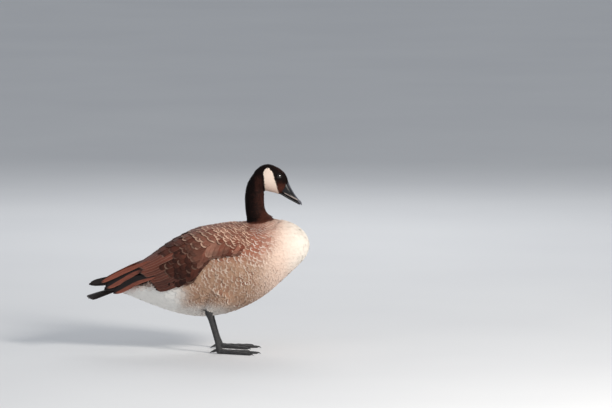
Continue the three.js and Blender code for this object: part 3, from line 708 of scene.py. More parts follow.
def lay(skin, vane, places, normals, length, width, lift, sink, draw, thick, ruffle, rising):
    """Feathers that lie on the skin and follow its bend: points, soft normals, roots, marks and shades."""
    turn = draw.normal(0, TURN_SPREAD, len(places))[:, None]
    ways = flow(places, normals)
    side = np.cross(normals, ways)
    ways = unit(ways + side * turn)
    side = np.cross(normals, ways)
    drop = fall_ahead(skin, places, normals, ways, length)
    short = np.clip(0.3 * length / np.maximum(-drop, 0.1), 0.5, 1)
    length, width = length * short, width * short**0.5
    drop = fall_ahead(skin, places, normals, ways, length)
    roll = draw.normal(0, ROLL_SPREAD, len(places))
    lift = lift * (1 + draw.normal(0, ruffle, len(places)))
    v, u, wide = vane.v[None], vane.u[None], vane.wide[None]
    rise = (lift + sink)[:, None] * v**rising - sink[:, None] + drop[:, None] * v**2
    camber = 0.07 * width[:, None] * (1 - u**2) * wide
    body = vane.side[None] * thick[:, None] * (1 - 0.6 * v)
    height = rise + camber + body + (roll * width)[:, None] * u * 0.5
    reach = 0.5 * width[:, None] * wide * u
    points = places[:, None] + ways[:, None] * (length[:, None] * v)[..., None]
    points = points + side[:, None] * reach[..., None] + normals[:, None] * height[..., None]
    slope = ((lift + sink)[:, None] * 0.25 + 2 * drop[:, None] * v) / length[:, None]
    soft = normals[:, None] - ways[:, None] * slope[..., None] + side[:, None] * (0.12 * u)[..., None]
    marks = places + ways * (length * 0.68)[:, None] + normals * drop[:, None] * 0.46
    tone = draw.normal(0, TONE_SPREAD, len(places))
    return points, soft, places, marks, tone, np.zeros(len(places))


def leaf_course(vane, course, up, width):
    """One long feather swept along a course of points, its flat side facing up."""
    row = open_curve(course)
    last = len(course) - 1
    centre = row(vane.v * last)
    ahead = unit(row(np.clip(vane.v + 0.01, 0, 1) * last) - row(np.clip(vane.v - 0.01, 0, 1) * last))
    side = unit(np.cross(up, ahead))
    over = np.cross(ahead, side)
    shaft = SHAFT_HEIGHT * np.exp(-((vane.u / SHAFT_WIDTH) ** 2)) * (vane.side > 0)
    height = LONG_CAMBER * (1 - vane.u**2) + shaft
    height = height + vane.side * LONG_THICK * (1 - 0.7 * vane.v)
    points = centre + side * (0.5 * width * vane.wide * vane.u)[:, None] + over * height[:, None]
    soft = over + side * (0.25 * vane.u)[:, None]
    return points, soft


def lie_over(vane, feathers, thick, camber):
    """Feathers laid over the torso, from rows of start, end, width and tilt.

    Start and end each hold a place along X, an angle and a lift; u = 1 is a feather's lower side."""
    start, end = (np.array([f[k] for f in feathers], float) for k in (0, 1))
    width, tilt = (np.array([f[k] for f in feathers], float)[:, None] for k in (2, 3))
    v, u = vane.v[None], vane.u[None]
    middle = blend(start, end, 0.5)
    near, _ = over_torso(middle[:, 0], middle[:, 1] - 0.02, 0 * middle[:, 0])
    far, _ = over_torso(middle[:, 0], middle[:, 1] + 0.02, 0 * middle[:, 0])
    radius = np.maximum(np.linalg.norm(far - near, axis=1) / 0.04, 12)[:, None]
    run = (end - start)[:, :1]
    fall = (end - start)[:, 1:2] * radius
    reach = np.hypot(run, fall)
    x, angle, lift = np.moveaxis(blend(start[:, None], end[:, None], v[..., None]), -1, 0)
    off = 0.5 * width * vane.wide[None] * u
    height = lift + tilt * u * vane.wide[None] + camber * (1 - u**2) * width
    height = height + vane.side[None] * thick * (1 - 0.6 * v)
    points, out = over_torso(x + off * fall / reach, angle - off * run / reach / radius, height)
    ahead = unit(over_torso(*end.T)[0] - over_torso(*start.T)[0])
    side = np.cross(out, ahead[:, None])
    soft = out - ahead[:, None] * ((end - start)[:, 2:3] / reach)[..., None] - side * (0.2 * u)[..., None]
    roots, _ = over_torso(start[:, 0], start[:, 1], np.zeros(len(start)))
    marks, _ = over_torso(*blend(start, end, 0.7).T[:2], np.zeros(len(start)))
    return points, soft, roots, marks


def wing_angles(x):
    """The angles of the folded wing's upper and lower edge, and how far it has narrowed there."""
    share = np.clip((WING_SPAN[0] - x) / (WING_SPAN[0] - WING_SPAN[1]), 0, 1)
    upper = blend(WING_UPPER[0], WING_UPPER[1], share**0.45)
    lower = blend(WING_LOWER[0], WING_LOWER[1], share)
    taper = np.maximum(1 - np.abs(2 * share - 1) ** 5, 0.02) ** 0.5
    middle, reach = (upper + lower) / 2, (lower - upper) / 2 * taper
    return np.radians(middle - reach), np.radians(middle + reach), taper


def wing_depth(x, angle):
    """How far the folded wing stands off the torso, with its padding over the shoulder."""
    upper, lower, taper = wing_angles(x)
    across = np.clip((2 * angle - upper - lower) / (lower - upper), -1, 1)
    inside = smooth(-0.25, 0.1, angle - upper)
    padded = 7 * smooth(0.85, 0.3, angle) * smooth(45, -35, x) * smooth(-150, -105, x)
    return 0.4 + padded + inside * (WING_EDGE + WING_CROWN * (1 - across**2) * taper)


def raised_tip(x, angle, over):
    """The height of a covert's tip, low at the shoulder where the body feathers close over the wing."""
    return blend(wing_depth(x, angle) + over, 0.7 * over, smooth(72, 100, x))


def sunk_root(x, angle, under):
    """The height of a covert's root, deep under the feathers of the breast's side at the front."""
    return blend(wing_depth(x, angle) - under, -3.4, smooth(84, 104, x))


def wing_shows(x):
    """The angle down to which the wing's feathers show."""
    places, angles = zip(*WING_SHOWS)
    return np.radians(np.interp(x, places, angles))


# Materials

class Term:
    """A number, colour or vector in a material, so that sums on it are written as sums."""

    def __init__(self, finish, socket):
        self.finish, self.socket = finish, socket

    def _math(self, operation, *values):
        return self.finish.node("ShaderNodeMath", {"operation": operation}, dict(enumerate(values)))

    def __add__(self, other):
        return self._math("ADD", self, other)

    def __sub__(self, other):
        return self._math("SUBTRACT", self, other)

    def __mul__(self, other):
        return self._math("MULTIPLY", self, other)

    def __rsub__(self, other):
        return self._math("SUBTRACT", other, self)

    __radd__ = __add__
    __rmul__ = __mul__

    def __pow__(self, other):
        return self._math("POWER", self, other)

    def __abs__(self):
        return self._math("ABSOLUTE", self)

    def least(self, other):
        return self._math("MINIMUM", self, other)

    def most(self, other):
        return self._math("MAXIMUM", self, other)

    def wave(self):
        return self._math("SINE", self)

    def smooth(self, low, high):
        """0 below low and 1 above high, or the other way round where low is the larger."""
        sockets = {"Value": self, "From Min": low, "From Max": high}
        return self.finish.node("ShaderNodeMapRange", {"interpolation_type": "SMOOTHSTEP"}, sockets)


class Finish:
    """A material that is put together from terms."""

    def __init__(self, name, **fixed):
        self.material = bpy.data.materials.new(name)
        self.material.use_nodes = True
        self.tree = self.material.node_tree
        self.shader = next(n for n in self.tree.nodes if n.type == "BSDF_PRINCIPLED")
        for key, value in fixed.items():
            self.shader.inputs[key.replace("_", " ")].default_value = value

    def node(self, kind, settings=None, sockets=None, out=0):
        made = self.tree.nodes.new(kind)
        for key, value in (settings or {}).items():
            setattr(made, key, value)
        for key, value in (sockets or {}).items():
            self.feed(made.inputs[key], value)
        return Term(self, made.outputs[out])

    def feed(self, socket, value):
        if isinstance(value, Term):
            self.tree.links.new(value.socket, socket)
        else:
            socket.default_value = value

    def layer(self, name, out="Fac"):
        return self.node("ShaderNodeAttribute", {"attribute_name": name}, out=out)

    def vane(self):
        """A feather's own map, from 0 to 1 across it and along it."""
        return self.node("ShaderNodeUVMap", {"uv_map": "Vane"})

    def place(self):
        return self.node("ShaderNodeTexCoord", out="Object")

    def parts(self, vector):
        made = self.node("ShaderNodeSeparateXYZ", None, {0: vector})
        return [Term(self, made.socket.node.outputs[k]) for k in range(3)]

    def mix(self, a, b, share):
        a, b = (v if isinstance(v, Term) else (*v, 1) for v in (a, b))
        return self.node("ShaderNodeMix", {"data_type": "RGBA"}, {0: share, 6: a, 7: b}, 2)

    def shade(self, colour, amount):
        """The colour made lighter or darker by a number."""
        return self.node("ShaderNodeVectorMath", {"operation": "SCALE"}, {0: colour, 3: amount})

    def noise(self, vector, scale, detail=2.0):
        """Noise about zero, from -0.5 to 0.5."""
        sockets = {"Vector": vector, "Scale": scale, "Detail": detail}
        return self.node("ShaderNodeTexNoise", None, sockets) - 0.5

    def along(self, vector, axis):
        sockets = {0: vector, 1: tuple(axis)}
        return self.node("ShaderNodeVectorMath", {"operation": "DOT_PRODUCT"}, sockets, "Value")

    def head_terms(self, place):
        """How far a place lies along the head from the root of the bill, and how far up from there."""
        origin = (HEAD_ORIGIN + SHIFT) * MM
        return [self.along(place, axis) - float(origin @ axis) for axis in (HEAD_AXES[0], HEAD_AXES[2])]

    def bump(self, height, strength, distance):
        sockets = {"Height": height, "Strength": strength, "Distance": distance}
        self.feed(self.shader.inputs["Normal"], self.node("ShaderNodeBump", None, sockets))

    def done(self, colour, roughness):
        self.feed(self.shader.inputs["Base Color"], colour)
        self.feed(self.shader.inputs["Roughness"], roughness)
        return self.material


def markings(finish, colours, place):
    """The plumage's pattern over the whole bird, and how strongly feather tips show in it."""
    x, y, z = finish.parts(place)
    fine = finish.noise(place, 380, 2)
    broad = finish.noise(place, 42, 3)
    along, up = finish.head_terms(place)
    ragged = fine * 0.0022

    # Cheek patch, a slanting band that passes under the chin
    behind = along + 0.0607 + (up + 0.0035) * 0.65
    before = ((0.0058 - up) * 0.95 - 0.043).least(-0.0065) - along
    top = PATCH_TOP - z
    sides = behind.least(before) - (0.0125 - top).most(0) ** 2 * 52
    patch = (sides.least(top) + ragged).smooth(-0.0006, 0.0008) * x.smooth(0.138, 0.1405)

    # Black stocking down to a slanting line round the foot of the neck
    edge = z - STOCKING_FOOT - (x - 0.1435).most(0) * 0.27 + broad * 0.003 + ragged
    stocking = edge.smooth(-0.0012, 0.0014) * x.smooth(0.097, 0.103)

    # Cream breast, buff sides, brown shoulders, white behind the legs
    front = x + broad * 0.022
    body = finish.mix(colours.flank, colours.side, front.smooth(0.108, 0.192))
    body = finish.mix(body, colours.breast, (front + (z - 0.2) * 0.1).smooth(0.172, 0.246))
    white = (x + broad * 0.02).smooth(-0.005, -0.055) * (z + broad * 0.01).smooth(0.168, 0.142)
    under = z.smooth(0.125, 0.095) * x.smooth(0.11, 0.03)
    body = finish.mix(body, colours.vent, white.most(under * 0.85))
    slope = (x - 0.02).least(0) * 0.42 + (x - 0.14).most(0) * 0.8 + broad * 0.03
    upper = (z - SHOULDER_EDGE - slope + fine * 0.02).smooth(-0.014, 0.03)
    upper = upper * (front + fine * 0.05).smooth(0.2, 0.128)
    body = finish.mix(body, finish.shade(colours.mantle, 2.4), upper * 0.74)
    rump = x.smooth(-0.1, -0.12) * (z - RUMP_EDGE).smooth(0, 0.012) * x.smooth(-0.176, -0.166)
    body = finish.mix(body, colours.flight, rump)
    body = finish.mix(body, colours.vent, x.smooth(-0.167, -0.175))
    tipped = front.smooth(0.205, 0.14).most(upper) * (1 - white) * (1 - rump)

    # Painted sheen: brown light painted on the black of the lower face, crown, nape and neck's front
    face = along.smooth(-0.036, -0.008) * up.smooth(0.002, -0.018)
    crown = up.smooth(0.006, 0.016) * along.smooth(-0.06, -0.03) * 0.42
    throat = x.smooth(0.104, 0.15) * z.smooth(0.376, 0.356) * z.smooth(0.29, 0.32)
    nape = behind.smooth(-0.001, -0.008) * x.smooth(0.122, 0.132)
    nape = nape * z.smooth(0.408, 0.388) * z.smooth(0.352, 0.37)
    sheen = face.most(throat * 0.56).most(crown).most(nape * 0.45) + broad * 0.4 + fine * 0.8
    dark = finish.mix(colours.stocking, colours.lit_neck, sheen.smooth(0.05, 1.25) * 0.9)
    coat = finish.mix(body, finish.mix(colours.lit_neck, dark, edge.smooth(0.0, 0.005)), stocking)
    # Lower part of the patch tinted tan: partly its own buff, partly painted shade
    shade = up.smooth(-0.014, -0.036) * 0.75
    coat = finish.mix(coat, finish.mix(colours.cheek, colours.side, shade + fine * 0.2), patch)
    return coat, tipped * (1 - stocking), upper, stocking * (1 - patch)


def feather_terms(finish):
    """A feather's mark and shade, and the place across it from -1 to 1 and along it from 0 to 1."""
    u, v, _ = finish.parts(finish.vane())
    return finish.layer("mark", "Vector"), finish.layer("tone"), u * 2 - 1, v


def coat_material(name, colours, velvet, gloss):
    """Small feathers in the bird's markings, with soft barbs, pale tips and a shade of their own."""
    finish = Finish(name, Sheen_Weight=velvet, Sheen_Roughness=0.5, Specular_IOR_Level=gloss)
    place, tone, u, v = feather_terms(finish)
    colour, tipped, upper, dark = markings(finish, colours, place)
    barbs = ((v * 26 - abs(u) * 9) * 2.4).wave()
    edge = (v + u * u * 0.12 - upper * 0.07).smooth(0.78, 0.93)
    middle = v.smooth(0.2, 0.55) * (1 - edge)
    patchy = finish.noise(place, 70, 2)
    colour = finish.mix(colour, colours.mantle, middle * tipped * (0.18 + tone * 0.2 + patchy * 1.4))
    colour = finish.mix(colour, colours.breast, edge * tipped * (0.16 + upper * 0.42 + tone * 0.12 + patchy))
    shaded = 1 - v.smooth(0.5, 0.1) * 0.2 + tone * (0.025 + tipped * 0.06 + dark * 0.14) + barbs * 0.03
    finish.bump(barbs, 0.14, 0.0002)
    return finish.done(finish.shade(colour, shaded), 0.88 - dark * 0.22)


def skin_material(name, colours):
    finish = Finish(name, Specular_IOR_Level=0.2)
    place = finish.layer("mark", "Vector")
    colour, _, _, _ = markings(finish, colours, place)
    down = finish.noise(place, 900, 3)
    finish.bump(down, 0.4, 0.0005)
    return finish.done(finish.shade(colour, 0.72 + down * 0.3), 0.95)


def covert_material(name, colours):
    """Back and wing feathers: brown with a dark shaft and band and a pale edge rubbed by wear; painted light
    at the front and top, painted shade low at the rear.
    """
    finish = Finish(name, Sheen_Weight=0.02, Specular_IOR_Level=0.16)
    place, tone, u, v = feather_terms(finish)
    strength = finish.layer("pale")
    wear_and_light_streaks = finish.noise(place, 60, 2)
    grain = finish.noise(finish.vane(), 7, 3)
    barbs = ((v * 40 - abs(u) * 12) * 2.6).wave()
    rim = v + u * u * 0.09 + grain * 0.07
    edge = (rim + strength * 0.03).smooth(0.925, 0.992)
    edge = edge * (strength + wear_and_light_streaks * 1.5 + tone * 0.12).smooth(0.0, 1.35)
    band = rim.smooth(0.8, 0.9)
    shaft = abs(u).smooth(0.06, 0.02)
    x, _, z = finish.parts(place)
    # Painted light: front and top of the wing lighter and paler, in streaks from the wear noise; painted
    # shade: darker low at the rear
    lit = x.smooth(-0.05, 0.05) * z.smooth(0.2, 0.235)
    painted_low_shade = z.smooth(0.228, 0.17) * x.smooth(0.05, 0.0)
    colour = finish.mix(colours.mantle, colours.flight, band * 0.35 + shaft * 0.2 - tone * 0.06)
    colour = finish.shade(colour, 0.8 + lit * 0.45 - painted_low_shade * 0.38)
    colour = finish.mix(colour, colours.mantle_tip, lit * (0.13 + wear_and_light_streaks * 0.7 + grain * 0.25 - shaft * 0.1))
    colour = finish.mix(colour, colours.mantle_tip, edge + abs(u).smooth(0.74, 1.0) * strength * 0.22)
    shaded = 1 + tone * 0.16 + barbs * 0.04 + wear_and_light_streaks * 0.5 + grain * 0.25
    finish.bump(barbs, 0.2, 0.0002)
    return finish.done(finish.shade(colour, shaded), 0.75 - shaft * 0.2)


def flight_material(name, colours, rim_share):
    """Long stiff feathers, black, with brown over a share of their width from the outer edge in; the black
    partly painted shadow.
    """
    finish = Finish(name, Specular_IOR_Level=0.3)
    place, tone, u, v = feather_terms(finish)
    brown = finish.layer("pale")
    streak = finish.noise(finish.vane(), 6, 3)
    barbs = ((v * 90 - abs(u) * 14) * 2.2).wave()
    # The black next to the brown stands partly for painted shadow under the edge of the feather above
    web = ((u + streak * 0.1) * 0.5 + brown - 0.5).smooth(-0.04, 0.05)
    web = web * v.smooth(0.985, 0.9) * brown.smooth(0, 0.2)
    colour = finish.mix(colours.flight, finish.shade(colours.mantle, 1.85), web * (0.85 + streak * 0.6))
    rim = (v + u * u * 0.06).smooth(0.95, 0.99) + u.smooth(0.86, 0.97) * 0.5
    colour = finish.mix(colour, colours.mantle_tip, rim * web * rim_share)
    shaft = abs(u).smooth(0.05, 0.02)
    colour = finish.mix(colour, colours.flight, shaft * 0.6)
    finish.bump(barbs, 0.2, 0.0002)
    x, _, z = finish.parts(place)
    # Painted shade: the feathers darker low down
    painted_low_shade = z.smooth(0.205, 0.165) * x.smooth(-0.16, -0.13) * 0.5
    shaded = 0.92 - painted_low_shade + tone * 0.1 + barbs * 0.05 + streak * 0.5
    return finish.done(finish.shade(colour, shaded), 0.62 - shaft * 0.2)


def horn_material(name, colours):
    """Black horn with fine lengthwise grain and dust, a painted grey highlight on the ridge, a painted pale
    reflection near the edge and painted shade in the nostril.
    """
    finish = Finish(name, Specular_IOR_Level=0.32)
    place = finish.place()
    along, up = finish.head_terms(place)
    grain = finish.noise(place, 300, 4)
    broad = finish.noise(place, 90, 2)
    # Painted highlight: grey along the ridge of the bill
    ridge = (up + along * 0.62 + 0.006).smooth(0.0, 0.004) * along.smooth(-0.002, 0.006)
    # Painted reflection: a pale streak a little above the upper half's lower edge
    line = abs(up + 0.0257 + along * 0.012).smooth(0.0016, 0.0005)
    line = line * along.smooth(0.001, 0.006) * along.smooth(0.042, 0.032)
    dusty = (grain + broad).smooth(0.1, 0.6)
    colour = finish.mix(colours.horn, (0.12, 0.12, 0.145), ridge * 0.7 + dusty * 0.12)
    colour = finish.mix(colour, (0.42, 0.35, 0.32), line * (0.7 + grain))
    # Painted shade: the nostril near black
    run, rise = slanted(along - 0.0205, up + 0.0208)
    hole = (run * 210) ** 2 + (rise * 640) ** 2
    colour = finish.mix(colour, (0.002, 0.002, 0.002), hole.smooth(1.3, 0.6))
    finish.bump(grain, 0.2, 0.0003)
    return finish.done(colour, 0.36 + broad * 0.25 + grain * 0.15)


def eye_material(name):
    """A dark brown iris round a black pupil under a wet surface."""
    finish = Finish(
        name, Roughness=0.3, Specular_IOR_Level=0.02, Coat_Weight=1.0, Coat_Roughness=0.02, Coat_IOR=1.7
    )
    ring = finish.layer("ring")
    iris = ring.smooth(0.42, 0.5) * (0.8 + finish.noise(finish.place(), 900, 2))
    colour = finish.mix((0.001, 0.001, 0.001), (0.009, 0.004, 0.002), iris)
    colour = finish.mix(colour, (0.004, 0.003, 0.003), ring.smooth(0.85, 0.98))
    finish.feed(finish.shader.inputs["Base Color"], colour)
    return finish.material


def lid_material(name, colours):
    """Black skin round the eye with fine folds and a slightly paler crest."""
    finish = Finish(name, Specular_IOR_Level=0.12)
    place = finish.place()
    folds = finish.noise(place, 1400, 3)
    colour = finish.mix(colours.stocking, colours.lit_neck, folds.smooth(0.0, 0.5) * 0.5)
    finish.bump(folds, 0.3, 0.0002)
    return finish.done(colour, 0.55 + folds * 0.2)


def leg_material(name, colours):
    """Grey black scaly skin, paler and drier on the raised scales."""
    finish = Finish(name, Specular_IOR_Level=0.4)
    place = finish.place()
    sockets = {"Vector": place, "Scale": 520.0}
    scales = finish.node("ShaderNodeTexVoronoi", {"feature": "DISTANCE_TO_EDGE"}, sockets).smooth(0.0, 0.22)
    dusty = finish.noise(place, 160, 4)
    colour = finish.mix(colours.leg, (0.075, 0.073, 0.072), scales * 0.35 + dusty.smooth(0.0, 0.4) * 0.5)
    finish.bump(scales + dusty * 0.3, 0.55, 0.0004)
    return finish.done(colour, 0.62 - scales * 0.12 + dusty * 0.2)


def floor_material(name, colours):
    finish = Finish(name, Roughness=0.9, Specular_IOR_Level=0.1)
    place = finish.place()
    colour = finish.mix(colours.floor, (0.7, 0.71, 0.73), finish.noise(place, 1.5, 2) + 0.5)
    return finish.done(colour, 0.9)


# Pieces

class GOOSE_OT_skin(bpy.types.Operator):
    """Draw one skin over the forms of torso, neck, head and thighs, under the depth of the coat"""

    bl_idname = "goose.skin"
    bl_label = "Skin"

    def execute(self, context):
        goose = context.scene.goose
        rough = added("Forms", mesh_of("Forms", together(bare_forms())))
        remesh = rough.modifiers.new("Join", "REMESH")
        remesh.mode = "VOXEL"
        remesh.voxel_size = goose.coat.voxel
        relax = rough.modifiers.new("Relax", "SMOOTH")
        relax.factor = 0.5
        relax.iterations = 7
        joined = rough.evaluated_get(context.evaluated_depsgraph_get())
        mesh = bpy.data.meshes.new_from_object(joined)
        mesh.name = "Skin"
        bpy.data.objects.remove(rough)
        points = vertex_rows(mesh, "co") / MM - SHIFT
        points = points - vertex_rows(mesh, "normal") * coat_depth(points, goose.coat)[:, None]
        placed = (points + SHIFT) * MM
        mesh.vertices.foreach_set("co", placed.ravel())
        mesh.polygons.foreach_set("use_smooth", np.ones(len(mesh.polygons), bool))
        mesh.update()
        write_layer(mesh, "mark", placed, "FLOAT_VECTOR")
        self.write_unwrap(mesh, unwrap(points))
        piece("Skin", mesh, skin_material("Goose_skin", goose.colours), "breast_feathers", *FLESH)
        return {"FINISHED"}

    def write_unwrap(self, mesh, flat):
        """The unwrap, with faces across its seam kept whole."""
        corners = corner_points(mesh)
        starts = np.empty(len(mesh.polygons), np.int32)
        mesh.polygons.foreach_get("loop_start", starts)
        uv = flat[corners]
        face = np.repeat(np.arange(len(starts)), np.diff(np.append(starts, len(corners))))
        first = uv[starts[face], 0]
        uv[:, 0] += np.where(first - uv[:, 0] > 0.45, 0.9, 0) - np.where(uv[:, 0] - first > 0.45, 0.9, 0)
        write_map(mesh, "OFBake", uv)


def slanted(run, rise):
    """Places along and across the nostril's slant."""
    return run * 0.93 - rise * 0.37, rise * 0.93 + run * 0.37


def eye_facing(side):
    """The way the eye on that side looks, in the head's frame."""
    turn = np.array([math.sin(LID_TURN), side * math.cos(LID_RAISE), math.sin(LID_RAISE)])
    return turn / np.linalg.norm(turn)


class GOOSE_OT_head_coat(bpy.types.Operator):
    """Cover the head and the neck with small velvety feathers"""

    bl_idname = "goose.head_coat"
    bl_label = "Head and neck feathers"

    def execute(self, context):
        goose = context.scene.goose
        coat = goose.coat
        skin = Skin()
        material = coat_material("Goose_head_feathers", goose.colours, 0.005, 0.06)
        draw = np.random.default_rng(coat.seed)

        def spacing(points):
            along, _, _ = to_head(points).T
            head = head_share(points)
            gap = blend(coat.spacing_neck / MM, CROWN_GAP, head)
            gap = blend(gap, coat.spacing_face / MM, smooth(-26, -3, along) * head)
            gap = gap * (1 + 0.2 * smooth(318, 292, points[:, 2]))
            eyes = (in_head(EYE_PLACE * [1, side, 1]) for side in (-1, 1))
            eye = np.minimum(*(np.linalg.norm(points - centre, axis=1) for centre in eyes))
            bare = (eye < EYE_BARE) | (along > -0.6)
            below = (points[:, 0] < 96) | (points[:, 2] < neck_foot(points))
            return np.where(bare | below, 0, gap)

        places, normals, gap = skin.scatter(spacing, coat.seed, 900000)
        length = gap * blend(4.2, 3.1, smooth(1.2, 1.8, gap)) * draw.uniform(0.85, 1.15, len(gap))
        depth = coat_depth(places, coat)
        sink, thick = gap * 0.12 + 0.25, 0.05 + 0.03 * gap
        vane = Vane(*HEAD_VANE)
        feathers = lay(
            skin, vane, places, normals, length, gap * 2.0, depth * 0.95, sink, draw, thick, 0.12, 0.8
        )
        head = head_share(places) > 0.5
        for name, chosen in (("Head_feathers", head), ("Neck_feathers", ~head)):
            plumage(name, vane, [layer[chosen] for layer in feathers], material, name.lower())
        return {"FINISHED"}


def neck_foot(points):
    """The height where the feathers of neck and body meet."""
    return 282 + np.maximum(points[:, 0] - 143, 0) * 0.5


class GOOSE_OT_body_coat(bpy.types.Operator):
    """Cover breast, belly, flanks, thighs, rump and vent with overlapping body feathers"""

    bl_idname = "goose.body_coat"
    bl_label = "Body feathers"

    def execute(self, context):
        goose = context.scene.goose
        coat = goose.coat
        skin = Skin()
        material = coat_material("Goose_body_feathers", goose.colours, 0.08, 0.2)
        draw = np.random.default_rng(coat.seed + 1)

        def spacing(points):
            x, y, z = points.T
            body = coat.spacing_body / MM
            gap = blend(body * 1.25, body * 0.82, smooth(70, 150, x))
            shoulder = smooth(80, 95, x) * smooth(182, 160, x) * smooth(196, 222, z)
            neck_base = smooth(24, 3, neck_foot(points) - z) * smooth(98, 112, x)
            leg = smooth(125, 100, z) * smooth(34, 44, np.abs(y)) * (x < 80)
            thigh = smooth(155, 132, z) * smooth(56, 66, np.abs(y)) * (x > 15) * smooth(100, 75, x)
            gap = blend(gap, body * 1.35, shoulder)
            gap = blend(gap, NECK_FOOT_GAP, neck_base)
            gap = blend(gap, LEG_GAP, leg)
            gap = blend(gap, body * 0.85, smooth(-120, -160, x))
            gap = blend(gap, THIGH_GAP, thigh)
            angle = np.arctan2(np.abs(y), z - torso_level(x))
            covered = (angle < wing_shows(x) - 0.25) & (x < 96) & (x > -140)
            on_neck = (z > neck_foot(points) + 4) & (x > 98)
            return np.where(covered | on_neck, 0, gap)

        places, normals, gap = skin.scatter(spacing, coat.seed + 1)
        length = gap * 3.8 * draw.uniform(0.88, 1.12, len(gap))
        depth = coat_depth(places, coat)
        sink, thick = gap * 0.1 + 0.5, 0.08 + 0.015 * gap
        vane = Vane(*BODY_VANE)
        feathers = lay(skin, vane, places, normals, length, gap * 2.2, depth, sink, draw, thick, 0.07, 0.55)
        front, right = places[:, 0] > 95, places[:, 1] < 0
        parts = {
            "Breast_feathers_right": front & right,
            "Breast_feathers_left": front & ~right,
            "Belly_feathers_right": ~front & right,
            "Belly_feathers_left": ~front & ~right,
        }
        for name, chosen in parts.items():
            plumage(name, vane, [layer[chosen] for layer in feathers], material, "breast_feathers")
        return {"FINISHED"}


